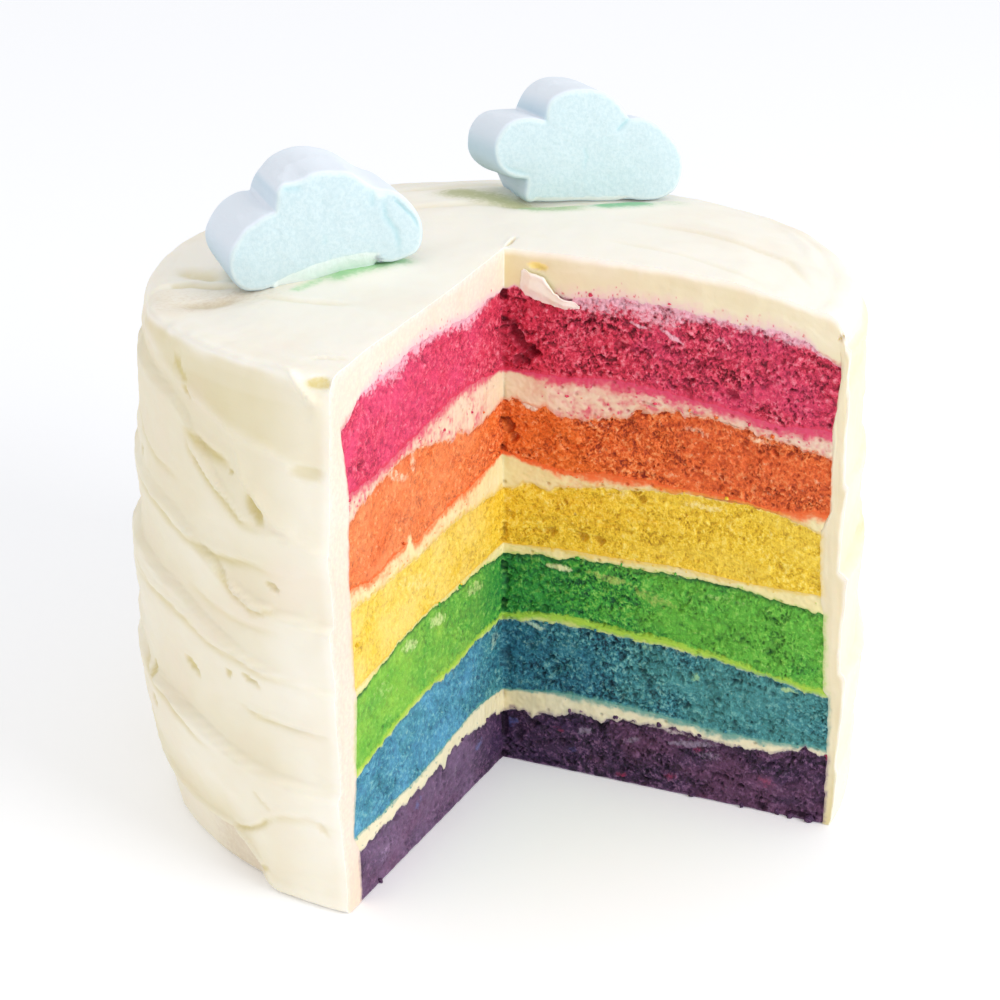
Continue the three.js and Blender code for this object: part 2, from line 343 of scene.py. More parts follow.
def addCamera():
    azimuth, pitch = math.radians(cameraView["azimuth"]), math.radians(cameraView["pitch"])
    ahead = np.array([-math.sin(azimuth) * math.cos(pitch), math.cos(azimuth) * math.cos(pitch), -math.sin(pitch)])
    rightward = np.array([math.cos(azimuth), math.sin(azimuth), 0])
    aim = np.array([0, 0, cameraView["aimUp"]]) + rightward * cameraView["aimAcross"]
    camera = bpy.data.objects.new("camera", bpy.data.cameras.new("camera"))
    camera.data.lens = cameraView["lens"]
    camera.data.clip_end = 20
    camera.location = (aim - ahead * cameraView["distance"]) * millimetre
    camera.rotation_euler = (math.pi / 2 - pitch, 0, azimuth)
    bpy.context.scene.collection.objects.link(camera)
    bpy.context.scene.camera = camera


studio = {
    "skyStrength": 0.84,
    "keyWatts": 11.0,
    "keyAzimuth": -14.0,     # from the right, along the right cut face
    "keyElevation": 22.0,
    "keyDistance": 1500.0,
    "keySize": 0.8,
    "floorSize": 12.0,
    "floorColour": (0.955, 0.965, 1.0),     # a little blue, as the cake throws a warm light on it
    "floorGlow": 0.115,      # keeps the floor white where the cake shades it
}


def addStudio():
    world = bpy.data.worlds.new("soft white")
    world.use_nodes = True
    background = world.node_tree.nodes["Background"]
    background.inputs["Color"].default_value = (1, 1, 1, 1)
    background.inputs["Strength"].default_value = studio["skyStrength"]
    bpy.context.scene.world = world
    azimuth, elevation = math.radians(studio["keyAzimuth"]), math.radians(studio["keyElevation"])
    lamp = bpy.data.lights.new("key", "AREA")
    lamp.energy = studio["keyWatts"]
    lamp.size = studio["keySize"]
    key = bpy.data.objects.new("key", lamp)
    reach = studio["keyDistance"] * millimetre
    key.location = (reach * math.cos(azimuth) * math.cos(elevation),
                    reach * math.sin(azimuth) * math.cos(elevation),
                    reach * math.sin(elevation) + 0.08)
    key.rotation_euler = (math.pi / 2 - elevation, 0, azimuth + math.pi / 2)
    bpy.context.scene.collection.objects.link(key)
    half = studio["floorSize"] / 2
    mesh = bpy.data.meshes.new("floor")
    mesh.from_pydata([(-half, -half, 0), (half, -half, 0), (half, half, 0), (-half, half, 0)], [], [(0, 1, 2, 3)])
    material, tree, shader = newMaterial("white floor")
    shader.inputs["Base Color"].default_value = studio["floorColour"] + (1,)
    shader.inputs["Roughness"].default_value = 0.9
    shader.inputs["Specular IOR Level"].default_value = 0.1
    shader.inputs["Emission Color"].default_value = (1, 1, 1, 1)
    shader.inputs["Emission Strength"].default_value = studio["floorGlow"]
    mesh.materials.append(material)
    floor = bpy.data.objects.new("floor", mesh)
    floor.location.z = -0.0002
    bpy.context.scene.collection.objects.link(floor)
    bpy.context.scene.view_settings.view_transform = "Standard"


# Sponges. Heights of floor and crown are given at these distances from the axis, on each face.
stations = [0, 20, 35, 55, 70, 85, 97]
thinnestFilling = 0.7
borderDepth = 0.22        # every face is sunk this far where it meets the next one
acrossSteps = 320
leftTurn = 270.0

# tears are (across, half width, rise) of places where a line jumps. holes are (across, up, half width,
# half height, depth, turn). smears are (across, up, half width, half height, turn, strength, own colour).
# tints are mixed in towards the inner corner and towards the icing, leaning by lean at the far end.
# haze is how far each face is painted towards veil, a paler painted sheen for the lit left face
sponges = [
    {
        "name": "purple", "seed": 11, "upSteps": 48,
        "light": "#90678c", "mid": "#3f2147", "dark": "#10061a", "tints": ("#361d4a", "#704062"),
        "veil": "#94779c", "haze": {"left": 0.42, "right": 0.0}, "lean": {"left": 0.3, "right": 0.5},
        "relief": {"left": 0.9, "right": 1.35}, "smear": "#8d7c92", "bleed": "#77527a", "soak": 0.3,
        "floor": {"left": [0] * 7, "right": [0] * 7},
        "crown": {"left": [15.8, 18.5, 19.4, 17.5, 16.7, 16.5, 15.5],
                  "right": [15.8, 18.5, 20, 21, 19.5, 20, 22.4]},
        "edge": {"left": [95, 95.8], "right": [103.2, 103.6]},
        "roughCrown": 1.0, "roughFloor": 0.5, "poreShare": 0.34, "poreDepth": 1.0, "crust": 0.55,
        "tears": {"left crown": [(41.5, 1.6, -3.2), (8, 3, 1.2)],
                  "right crown": [(9.5, 1.4, -1.8), (33, 1.2, -1.6), (96.5, 1.2, 1.8), (3, 1.5, 1.8), (24, 2, 1.0)]},
        "holes": {"right": [(10, 13.4, 3.0, 1.2, 2.2), (32, 17.2, 1.2, 1.8, 2.0), (84, 1.2, 2.6, 1.0, 1.8),
                            (96, 1.0, 5.0, 1.0, 2.0), (19, 9, 2.6, 1.1, 1.4), (5, 9, 1.6, 2.8, 1.6),
                            (52, 7, 3.2, 0.9, 1.3), (70, 8.5, 2.6, 0.9, 1.2), (40, 4, 2.8, 0.9, 1.3)],
                  "left": [(42.4, 14.5, 1.0, 3.0, 1.6), (89, 3.2, 1.2, 1.0, 1.2), (72.8, 15.2, 1.3, 0.9, 1.3),
                           (30, 5, 2.0, 0.8, 1.0)]},
        "smears": {"right": [(27.5, 14.6, 3.0, 1.0, 25, 0.85), (42, 14.4, 4.0, 1.3, 12, 0.6),
                             (62, 17.6, 9.5, 1.3, 10, 0.8), (53, 20.2, 9, 0.8, -4, 0.75, "#c3b3b4"),
                             (68, 14.6, 6, 1.5, 5, 0.5), (39, 2.2, 2.2, 1.2, 0, 0.8, "#a3214f"),
                             (64, 16.0, 2.4, 1.0, 0, 0.5, "#9c2455"), (19, 13.2, 2.2, 1.1, 0, 0.7, "#7d1c47"),
                             (104, 22.0, 1.5, 1.5, 0, 0.8, "#a01f45"), (85, 10, 4, 2.2, 0, 0.5, "#8d3a5e"),
                             (2.5, 12, 2, 2, 0, 0.6, "#3e4a86"), (23, 7, 2.4, 1.5, 0, 0.5, "#39407c"),
                             (54, 5, 3, 1.6, 0, 0.5, "#8b2450"), (76, 20, 3, 1, 0, 0.5, "#454b7e")],
                   "left": [(33, 11, 2.6, 2.0, 0, 0.5), (17.4, 12.2, 3, 2, 0, 0.5, "#6a74a8"),
                            (58.7, 12.7, 3, 2, 0, 0.45, "#6a74a8"), (80, 8, 5, 3, 0, 0.35, "#a98bb0")]},
    },
    {
        "name": "blue", "seed": 23, "upSteps": 56,
        "light": "#94d0c8", "mid": "#2c7c8c", "dark": "#062a3c", "tints": ("#1c6684", "#4e9890"),
        "veil": "#6cb8ea", "haze": {"left": 0.4, "right": 0.0}, "lean": {"left": 0.1, "right": 0.8},
        "relief": {"left": 0.8, "right": 1.25}, "smear": "#b9d2bd", "bleed": "#5d9c93", "soak": 0.8,
        "floor": {"left": [23.4, 25.3, 23.9, 21.5, 21.3, 21.0, 21.3],
                  "right": [23.4, 25.7, 25.7, 24.6, 23.4, 23.4, 24.3]},
        "crown": {"left": [46.7, 47.2, 45.5, 45.8, 44.2, 41.8, 39.0],
                  "right": [46.7, 48.5, 48.3, 47.5, 46.2, 44.0, 41.5]},
        "edge": {"left": [99.2, 96.8], "right": [103.4, 103.0]},
        "roughCrown": 0.8, "roughFloor": 0.35, "poreShare": 0.36, "poreDepth": 0.95, "crust": 0.4,
        "tears": {"left crown": [(3, 1.6, 1.2)]},
        "holes": {"right": [(38.4, 27.4, 1.4, 1.3, 1.8), (1.2, 34, 1.2, 5, 1.4), (17, 33, 2.0, 1.4, 1.2),
                            (9, 39, 2.2, 1.0, 1.2)],
                  "left": [(69.6, 37.3, 1.3, 1.1, 1.6), (0.8, 36, 1.0, 5, 1.2)]},
        "smears": {"right": [(10, 46.6, 4.0, 1.0, -12, 0.95), (47, 45.8, 2.4, 1.2, 0, 0.7, "#8fbf9c"),
                             (62, 39.4, 2.2, 1.4, 30, 0.8, "#8fc08f"), (91, 41, 3.0, 0.9, 0, 0.8, "#a9c98a")],
                   "left": [(6, 42, 3.4, 3.4, 20, 0.5)]},
    },
    {
        "name": "green", "seed": 37, "upSteps": 52,
        "light": "#a4de66", "mid": "#3ca236", "dark": "#0a4a2a", "tints": ("#1e8038", "#74c038"),
        "veil": "#aad64e", "haze": {"left": 0.45, "right": 0.0}, "lean": {"left": 0.5, "right": 0.9},
        "relief": {"left": 0.7, "right": 1.15}, "smear": "#bfd48a", "bleed": "#a0cb3f", "soak": 1.3,
        "floor": {"left": [48.4, 48.5, 46.5, 47, 45.3, 42.4, 41.1],
                  "right": [48.4, 51.4, 50, 49.3, 47.3, 44.6, 43.1]},
        "crown": {"left": [68.6, 69.8, 69.5, 70, 68.5, 65.3, 62.8],
                  "right": [68.6, 70.9, 71, 71.2, 70.9, 69, 67.2]},
        "edge": {"left": [97, 95.6], "right": [101.3, 100.4]},
        "roughCrown": 0.6, "roughFloor": 0.3, "poreShare": 0.26, "poreDepth": 0.7, "crust": 1.0, "fade": 0.15,
        "tears": {"right crown": [(17.5, 2.6, -1.4)]},
        "holes": {"right": [(13, 52.9, 1.8, 1.3, 1.2), (0.8, 60, 0.8, 6, 1.0)],
                  "left": [(52, 57, 1.2, 0.9, 0.8)]},
        "smears": {"right": [(18, 66.8, 5.5, 1.2, -3, 0.95, "#dfe2b0"), (34, 66.4, 9, 1.4, -6, 0.7, "#a9bd62"),
                             (48, 62.5, 8, 2.2, -18, 0.5, "#a5bb5a"), (70, 66.5, 10, 1.0, -4, 0.4)],
                   "left": [(45, 65.2, 6.4, 2.4, 12, 0.75, "#cfe29a"), (63, 64.6, 5, 2.2, 14, 0.7, "#cfe29a"),
                            (20, 65, 8, 2.4, 10, 0.6), (80, 58, 8, 3, 14, 0.3)]},
    },
    {
        "name": "yellow", "seed": 41, "upSteps": 52,
        "light": "#feee84", "mid": "#eec82c", "dark": "#b48814", "tints": ("#e6b41c", "#f2d24c"),
        "veil": "#fae08a", "haze": {"left": 0.5, "right": 0.0}, "lean": {"left": 0.2, "right": 0.3},
        "relief": {"left": 0.5, "right": 0.62}, "smear": "#f6e6a2", "bleed": "#e6bd35", "soak": 0.8,
        "floor": {"left": [72.0, 71.4, 70.9, 69.9, 68.2, 67, 66],
                  "right": [72.0, 73.1, 73.2, 73.9, 73.1, 72.6, 72.7]},
        "crown": {"left": [89.8, 90.6, 91.2, 89.5, 89.7, 89.2, 89.8],
                  "right": [89.8, 93, 95, 96.8, 97, 95.5, 92.1]},
        "edge": {"left": [96.6, 97.8], "right": [99.1, 98.3]},
        "roughCrown": 0.6, "roughFloor": 0.25, "poreShare": 0.16, "poreDepth": 0.6, "crust": 0.08,
        "tears": {"right crown": [(14, 2.6, -1.0), (8, 4, 1.4)]},
        "holes": {"right": [(15.1, 78.0, 1.8, 1.2, 1.8), (25.2, 78.6, 2.2, 1.4, 1.8), (30.6, 78.2, 2.2, 1.2, 2.0),
                            (0.4, 76.8, 1.1, 2.6, 1.4), (1.6, 81.6, 2.2, 1.2, 1.0), (19.8, 88.7, 0.9, 0.9, 1.2),
                            (44.1, 93.1, 1.0, 1.2, 1.2)],
                  "left": [(27.1, 87.5, 1.0, 0.7, 0.8)]},
        "smears": {"right": [(1.2, 83, 1.2, 4, 0, 0.3), (62, 94, 9, 1.4, -4, 0.5), (36, 93, 5, 1.2, 12, 0.4)],
                   "left": [(58, 82, 14, 3, 24, 0.4)]},
    },
    {
        "name": "orange", "seed": 53, "upSteps": 50,
        "light": "#ffbc7c", "mid": "#e76823", "dark": "#862206", "tints": ("#ea731a", "#e36230"),
        "veil": "#fb9e68", "haze": {"left": 0.5, "right": 0.0}, "lean": {"left": 0.2, "right": 0.7},
        "relief": {"left": 0.65, "right": 1.1}, "smear": "#f6d6b6", "bleed": "#ea6426", "soak": 1.0,
        "floor": {"left": [101.0, 98.5, 97.5, 95.7, 95.8, 94, 96],
                  "right": [101.0, 97.9, 99.4, 98.4, 98.3, 96.5, 98]},
        "crown": {"left": [117.6, 115, 117, 121.5, 121.5, 119, 115.5],
                  "right": [117.6, 114.8, 117.0, 121.9, 120.5, 117.7, 115.5]},
        "edge": {"left": [98.6, 97.8], "right": [100.7, 100.6]},
        "roughCrown": 0.9, "roughFloor": 0.5, "poreShare": 0.24, "poreDepth": 0.8, "crust": 0.15,
        "tears": {"left floor": [(62.6, 1.9, 4.4), (57.5, 3.0, -1.4)], "left crown": [(30, 3.0, 1.4)],
                  "right crown": [(7, 4.5, 1.4), (43, 2.6, 1.8), (56.5, 1.3, -1.6), (13.5, 2.5, 1.2)]},
        "holes": {"right": [(1.4, 109.6, 1.9, 2.4, 2.4), (3.4, 106.4, 2.0, 1.4, 1.8), (84.1, 113.6, 0.9, 0.9, 1.2)],
                  "left": [(0.8, 111.5, 1.2, 1.6, 1.6), (65.1, 102.6, 1.1, 0.8, 1.2), (87.6, 113.6, 0.9, 1.3, 1.3),
                           (33.6, 110.3, 1.0, 1.0, 1.0)]},
        "smears": {"right": [(8.0, 116.6, 2.9, 1.3, -14, 1.0, "#e9dcc8"), (60, 117, 6, 1.2, -10, 0.5),
                             (80, 116.5, 6, 1.0, -6, 0.5), (30, 113.8, 5, 0.9, 0, 0.3)],
                   "left": [(70, 118.5, 9, 1.8, 25, 0.6), (60.5, 119.4, 4, 2.5, 60, 0.5)]},
    },
    {
        "name": "pink", "seed": 67, "upSteps": 58,
        "light": "#fc98a8", "mid": "#d83253", "dark": "#5e0418", "tints": ("#d02442", "#e04270"),
        "veil": "#ec4a7c", "haze": {"left": 0.5, "right": 0.0}, "lean": {"left": 0.2, "right": 0.5},
        "relief": {"left": 0.75, "right": 1.3}, "smear": "#f0bccb", "bleed": "#d63656", "soak": 1.3,
        "floor": {"left": [126.8, 129.2, 129.2, 126.5, 124.5, 123.3, 122.8],
                  "right": [126.8, 127.3, 128.5, 126.7, 124.8, 122.4, 123]},
        "crown": {"left": [151.8, 150.4, 150.5, 152, 150.1, 149.4, 146],
                  "right": [151.8, 151.2, 153.2, 152, 150.5, 150, 146.5]},
        "edge": {"left": [97.6, 101.5], "right": [100.4, 102.2]}, "shoulder": 3.8,
        "roughCrown": 0.8, "roughFloor": 0.6, "poreShare": 0.32, "poreDepth": 0.9, "crust": 0.1,
        "tears": {"right crown": [(4, 2.0, 1.5)]},
        "holes": {"right": [(9.2, 133.4, 2.5, 1.8, 5.5), (4.6, 136.4, 5.0, 1.9, 4.2, -48), (2.0, 141.0, 2.2, 2.4, 2.0),
                            (5.6, 130.6, 3.4, 1.8, 2.8), (57, 131.8, 2.6, 1.1, 1.6), (60, 137, 2.4, 1.2, 1.4),
                            (70.5, 129.0, 2.6, 1.3, 1.6), (36, 139, 2.6, 0.9, 1.3), (27, 145, 2.4, 0.9, 1.2)],
                  "left": [(0.8, 137, 1.6, 4.0, 1.6), (57.5, 131.6, 1.1, 1.4, 1.0), (91, 128.5, 1.2, 2.6, 1.0),
                           (43, 131.5, 1.4, 0.9, 1.0), (75, 135.5, 0.9, 1.6, 0.8)]},
        "smears": {"right": [(41.5, 145.9, 3.2, 0.8, -12, 0.95), (52, 143.8, 5.0, 0.9, -28, 0.9),
                             (46, 148.3, 10, 1.8, -5, 0.6), (33, 149, 6, 1.4, 0, 0.5), (66, 145, 5, 1.4, -10, 0.4)],
                   "left": []},
        "speckle": {"right": [14, 94, 5.2], "left": [8, 88, 4.4]},
    },
]


def leftShare(azimuth):
    return smoothStep(0, leftTurn, azimuth)


# Lines between layers, numbered from the floor up: even is a sponge's floor, odd its crown
def lineHeight(level, side, across):
    sponge = sponges[level // 2]
    edgeName = "crown" if level % 2 else "floor"
    height = smoothAlong(stations, sponge[edgeName][side], across)
    for place, halfWidth, rise in sponge["tears"].get(f"{side} {edgeName}", []):
        height = height + rise * np.exp(-((across - place) / halfWidth) ** 2)
    rough = sponge["roughCrown"] if level % 2 else sponge["roughFloor"]
    seed = sponge["seed"] + 100 * level + (0 if side == "left" else 9)
    ragged = layeredNoise(across / 2.3, 0.5 + 0 * across, seed, 4)
    clumps = cells(across / 1.9, 0.5 + 0 * across, seed + 3)[2] - 0.5
    height = height + rough * (ragged + 0.55 * clumps) * smoothStep(0, 3, across)
    if sponge.get("shoulder") and level % 2:
        height = height - sponge["shoulder"] * smoothStep(91, 102, across)
    if level == 0:
        return np.maximum(0, height * 0 + rough * 0.5 * (ragged + 0.6) * smoothStep(0, 3, across))
    if level % 2 == 0:
        height = np.maximum(height, lineHeight(level - 1, side, across) + thinnestFilling)
    return height


# Wall between the sponges and the coat: its radius at a height
def wallRadius(side, up):
    places, radii = [], []
    for sponge in sponges:
        for edgeName, radius in zip(("floor", "crown"), sponge["edge"][side]):
            places.append(sponge[edgeName][side][-1] - (sponge.get("shoulder", 0) if edgeName == "crown" else 0))
            radii.append(radius)
    ragged = layeredNoise(up / 2.4, 0.5 + 0 * up, 300 if side == "left" else 340, 4)
    return np.interp(up, places, radii) + 0.35 * ragged


def cornerHeight(level, side):
    # height at which a line meets the wall
    height = np.array([90.0])
    for _ in range(5):
        height = lineHeight(level, side, wallRadius(side, height))
    return height


def plainHeight(level, azimuth, across):
    sponge = sponges[level // 2]
    heights = sponge["crown" if level % 2 else "floor"]
    drop = sponge.get("shoulder", 0) * smoothStep(91, 102, across) if level % 2 else 0
    right, left = (smoothAlong(stations, heights[side], across) for side in ("right", "left"))
    return mix(right, left, leftShare(azimuth)) - drop


def plainWall(azimuth, up):
    return mix(wallRadius("right", up), wallRadius("left", up), leftShare(azimuth))


hiddenAzimuths = np.arange(15, 270, 15)
hiddenShares = np.array([0.25, 0.5, 0.75, 1.0])


# A sponge or a filling: two finely made cut faces, and a plain skin between them inside the cake
def buildLayer(name, lower, upper, upSteps, face, material, slotName, node, gap=0.0):
    shell = Shell()
    shares = np.linspace(0, 1, acrossSteps + 1)[:, None]
    ups = np.linspace(0, 1, upSteps + 1)
    made = {}
    for side in cutAzimuths:
        edgeLow, edgeHigh = (cornerHeight(level, side) for level in (lower, upper))
        across = shares * wallRadius(side, mix(edgeLow, edgeHigh, ups))[None, :]
        low, high = lineHeight(lower, side, across), lineHeight(upper, side, across)
        up = mix(low, high, ups[None, :])
        made[side] = (across, up) + face(side, across, up, low, high)
    axisPlaces = np.stack([-made["left"][2][0], made["right"][2][0], made["left"][1][0]], -1)
    painted = {key: value[0] for key, value in made["right"][3].items()}
    axis = shell.addPoints(axisPlaces, **painted)
    borders = {}
    for side, (across, up, depth, values) in made.items():
        values = {key: value[1:] for key, value in values.items()}
        grid = shell.addPoints(onFace(side, across[1:], up[1:], depth[1:]), **values)
        grid = np.vstack([axis[None, :], grid])
        shell.addGrid(grid, 0, flip=side == "left")
        borders[side] = np.concatenate([grid[:, 0], grid[-1, 1:], grid[-2::-1, -1]])
    borderShares = np.concatenate([shares[:, 0], 1 + ups[1:], 3 - shares[-2::-1, 0]])
    rows = [borders["right"]]
    # the skin leaves the axis at once, so that no sliver of it lies in a cut face
    rowShares = np.concatenate([[0, 0.001], hiddenShares[1:], [1.5], 3 - hiddenShares[::-1], [3]])
    for azimuth in hiddenAzimuths:
        edges = [plainWall(azimuth, plainHeight(level, azimuth, 97.0)) for level in (lower, upper)]
        low = [(share * edges[0], plainHeight(lower, azimuth, share * edges[0]) + gap) for share in hiddenShares]
        high = [(share * edges[1], plainHeight(upper, azimuth, share * edges[1]) - gap) for share in hiddenShares]
        middleUp = (low[-1][1] + high[-1][1]) / 2
        profile = np.array(low + [(plainWall(azimuth, middleUp), middleUp)] + high[::-1], float)
        row = shell.addPoints(aroundAxis(profile[:, 0], azimuth, profile[:, 1]))
        rows.append(np.concatenate([[axis[0]], row, [axis[-1]]]))
    rows.append(borders["left"])
    for position in range(len(rows) - 1):
        firstShares = borderShares if position == 0 else rowShares
        secondShares = borderShares if position == len(rows) - 2 else rowShares
        shell.stitch(rows[position], rows[position + 1], firstShares, secondShares, 1)
    return shell.make(name, material, slotName, node)


# hollow is the khaki of the painted shade, and foot the colour of the painted shade on the tucked foot
icingColours = {"plain": "#fef8ec", "hollow": "#dccd95", "pinkish": "#fae4da", "foot": "#ddcdb4"}


# Crumb of a sponge on a cut face: torn grains with seams between, cracks, pores, holes, smeared icing. Seams, cracks,
# pores, holes and the corner groove are also painted dark as shade, raised lumps are painted lighter, and the lit left
# face gets a paler painted sheen
def spongeFace(sponge):
    def face(side, across, up, low, high):
        seed = sponge["seed"] + (0 if side == "left" else 500)
        rough = np.clip(0.72 + 0.7 * layeredNoise(across / 9, up / 4.5, seed + 20), 0.25, 1.35)
        strength = sponge["relief"][side] * rough
        swell = layeredNoise(across / 10, up / 6, seed)
        warpX = 0.9 * layeredNoise(across / 2.4, up / 2.2, seed + 30)
        warpY = 0.9 * layeredNoise(across / 2.4, up / 2.2, seed + 40)
        nearest, _, own = cells(across / 1.7 + warpX, up / 1.25 + warpY, seed + 50)
        lump = np.clip(1 - nearest / 0.75, 0, 1) * own
        seam = np.clip(1 - np.abs(layeredNoise(across / 1.9 + warpX, up / 1.3 + warpY, seed + 55, 2)) / 0.17, 0, 1)
        fineSeam = np.clip(1 - np.abs(layeredNoise(across / 0.95, up / 0.75, seed + 60, 2)) / 0.24, 0, 1)
        crackNearest, crackFollowing, crackOwn = cells(across / 3.8 + 1.3 * warpX, up / 1.7 + 1.3 * warpY, seed + 75)
        crack = np.clip(1 - (crackFollowing - crackNearest) / 0.16, 0, 1) * smoothStep(0.5, 0.85, crackOwn)
        poreNearest, _, poreOwn = cells(across / 2.3 + 0.6 * warpX, up / 1.7 + 0.6 * warpY, seed + 70)
        poreSize = 0.14 + 0.3 * hashed((poreOwn * 1000).astype(np.int64), 0, seed)
        # the pores: sunk into the face, and painted dark as their shade
        pore = np.clip(1 - (poreNearest / poreSize) ** 2, 0, 1) * (poreOwn < sponge["poreShare"])
        torn = smoothStep(0.18, 0.36, layeredNoise(across / 7 + 0.3 * warpX, up / 3.4 + 0.3 * warpY, seed + 15, 4))
        depth = 0.35 + 0.3 * swell + 0.55 * torn * sponge["relief"][side] + strength * (
            0.3 * seam + 0.16 * fineSeam - 0.34 * lump + 0.6 * crack + sponge["poreDepth"] * pore ** 0.7)
        hole = np.zeros(across.shape)
        for mark in sponge["holes"][side]:
            oval = mark[:4] + mark[5:]
            bowl = np.clip(spot(across + 1.3 * warpX, up + 1.1 * warpY, oval), 0, 1) ** 0.5
            hole = np.maximum(hole, bowl * min(1, 0.25 * mark[4] + 0.25))
            depth = depth + mark[4] * bowl
        # a thin sunk line at the inner corner, painted dark as shade
        groove = smoothStep(0.1, 0.6, softNoise(up / 4.3, 0.5, sponge["seed"] + 80)) * np.clip(1 - across / 0.9, 0, 1)
        depth = depth + 1.3 * groove
        speckles = layeredNoise(across / 0.9, up / 0.8, seed + 85, 2)
        stain = np.zeros(across.shape)
        colour = np.zeros(across.shape + (3,)) + np.array(linear(sponge["smear"]))
        for mark in sponge["smears"][side]:
            smear = np.clip(spot(across + 1.2 * warpX, up + 0.8 * warpY, mark[:5]), 0, 1) ** 0.6
            painted = mark[5] * smear
            if len(mark) > 6:
                colour = np.where((painted > stain)[..., None], np.array(linear(mark[6])), colour)
            stain = np.maximum(stain, painted)
        depth = mix(depth, 0.15 + 0.2 * swell, np.clip(0.9 * stain, 0, 0.75))
        crownReach = 0.9 + 0.5 * softNoise(across / 3.1, 0.5, seed + 88)
        faded = np.clip(1 - (high - up) / crownReach, 0, 1) + 0.5 * speckles * (high - up < crownReach)
        faded = sponge.get("fade", 0.5) * faded
        stain = np.maximum(stain, faded)
        floorReach = sponge["soak"] * (1 + 0.6 * softNoise(across / 4.1, 0.5, seed + 89))
        soaked = 0.85 * (1 - smoothStep(0.1, 1, (up - low + 0.25 * speckles) / floorReach))
        colour = np.where((soaked > stain)[..., None], np.array(linear(sponge["bleed"])), colour)
        stain = np.maximum(stain, soaked)
        if sponge.get("speckle"):
            start, end, reach = sponge["speckle"][side]
            within = smoothStep(start - 6, start + 8, across) * (1 - smoothStep(end - 6, end + 4, across))
            reach = 0.8 + reach * within * (0.8 + 0.7 * softNoise(across / 5, 0.5, seed + 90))
            dusted = 0.95 * np.clip(1 - (high - up) / reach, 0, 1) ** 0.8 + 0.35 * speckles
            stain = np.maximum(stain, dusted * (high - up < reach))
        crust = np.clip(1.3 - (high - up) / 1.3, 0, 1) * sponge["crust"] * (
            0.8 + 0.5 * softNoise(across / 6, 0.5, seed + 91))
        # painted sheen: the left face, which faces the key light, is painted paler
        haze = sponge["haze"][side] * smoothStep(2, 30, across) * (
            0.8 + 0.6 * layeredNoise(across / 9, up / 7, seed + 95) + 0.3 * layeredNoise(across / 1.4, up / 1.4, seed + 97))
        mottle = layeredNoise(across / 1.15, up / 0.95, seed + 99, 2)
        # crumb mottle, with painted light on the raised lumps and painted shade in the seams and cracks
        grain = 0.48 + 0.34 * mottle + 0.35 * lump - 0.34 * seam - 0.2 * fineSeam - 0.45 * crack
        nearCorner = 1 - smoothStep(4, 70, across)
        tone = sponge["lean"][side] * (1 - 2 * nearCorner) + 0.7 * layeredNoise(across / 12, up / 6, seed + 98)
        fromBorder = np.minimum(np.minimum(high - up, up - low), wallRadius(side, up) - across)
        depth = mix(borderDepth, depth, smoothStep(0, 0.8, fromBorder + 0.15 * speckles))
        values = {
            "grain": np.clip(0.5 + (grain - 0.5) * np.clip(0.35 + 0.65 * strength, 0, 1.2), 0, 1),
            # painted shade in pores, cracks, holes and the corner groove, with the real crust under the crown
            "pore": np.clip(strength * (0.75 * pore + 0.45 * crack) + 0.75 * hole + crust + 0.8 * groove, 0, 1),
            "stain": np.clip(stain, 0, 1),
            "stainColour": colour,
            "tone": np.clip(0.5 + 0.5 * tone, 0, 1),
            "haze": np.clip(haze, 0, 1),
        }
        return depth, values
    return face


def crumbMaterial(sponge):
    material, tree, shader = newMaterial("crumb_" + sponge["name"])
    crumbs = noiseNode(tree, 640, 3.0, 0.65)
    grit = noiseNode(tree, 1900, 2.0, 0.6)
    shade = sum2(tree, "ADD", sum2(tree, "MULTIPLY", crumbs, 0.42), sum2(tree, "MULTIPLY", grit, 0.3))
    # grain carries the crumb mottle and its painted light and shade
    shade = sum2(tree, "ADD", shade, sum2(tree, "MULTIPLY", paintedValue(tree, "grain"), 0.38))
    ramp = tree.nodes.new("ShaderNodeValToRGB")
    tree.links.new(shade, ramp.inputs["Fac"])
    stops = ramp.color_ramp.elements
    stops[0].position, stops[0].color = 0.37, linear(sponge["dark"]) + (1,)
    stops[1].position, stops[1].color = 0.76, linear(sponge["light"]) + (1,)
    middle = stops.new(0.54)
    middle.color = linear(sponge["mid"]) + (1,)
    nearTint, farTint = (linear(colour) for colour in sponge["tints"])
    tone = paintedValue(tree, "tone")
    colour = mixColours(tree, rangeNode(tree, tone, 0.5, 0.1, 0, 0.5), ramp.outputs["Color"], nearTint)
    colour = mixColours(tree, rangeNode(tree, tone, 0.5, 0.9, 0, 0.5), colour, farTint)
    # painted sheen towards the paler veil
    colour = mixColours(tree, paintedValue(tree, "haze"), colour, linear(sponge["veil"]))
    # painted shade in pores, cracks, holes and grooves, and the crust, towards the dark colour
    poreShare = sum2(tree, "MULTIPLY", paintedValue(tree, "pore"), 0.8)
    colour = mixColours(tree, poreShare, colour, linear(sponge["dark"]))
    stain = speckledStain(tree, crumbs, 1.0, 0.9)
    colour = mixColours(tree, stain, colour, paintedValue(tree, "stainColour", "Color"))
    tree.links.new(colour, shader.inputs["Base Color"])
    rough = sum2(tree, "SUBTRACT", 0.68, sum2(tree, "MULTIPLY", stain, 0.15))
    tree.links.new(rough, shader.inputs["Roughness"])
    shader.inputs["Specular IOR Level"].default_value = 0.42
    relief = sum2(tree, "ADD", crumbs, sum2(tree, "MULTIPLY", grit, 0.6))
    tree.links.new(bumpNode(tree, relief, 0.6, 0.8), shader.inputs["Normal"])
    return material


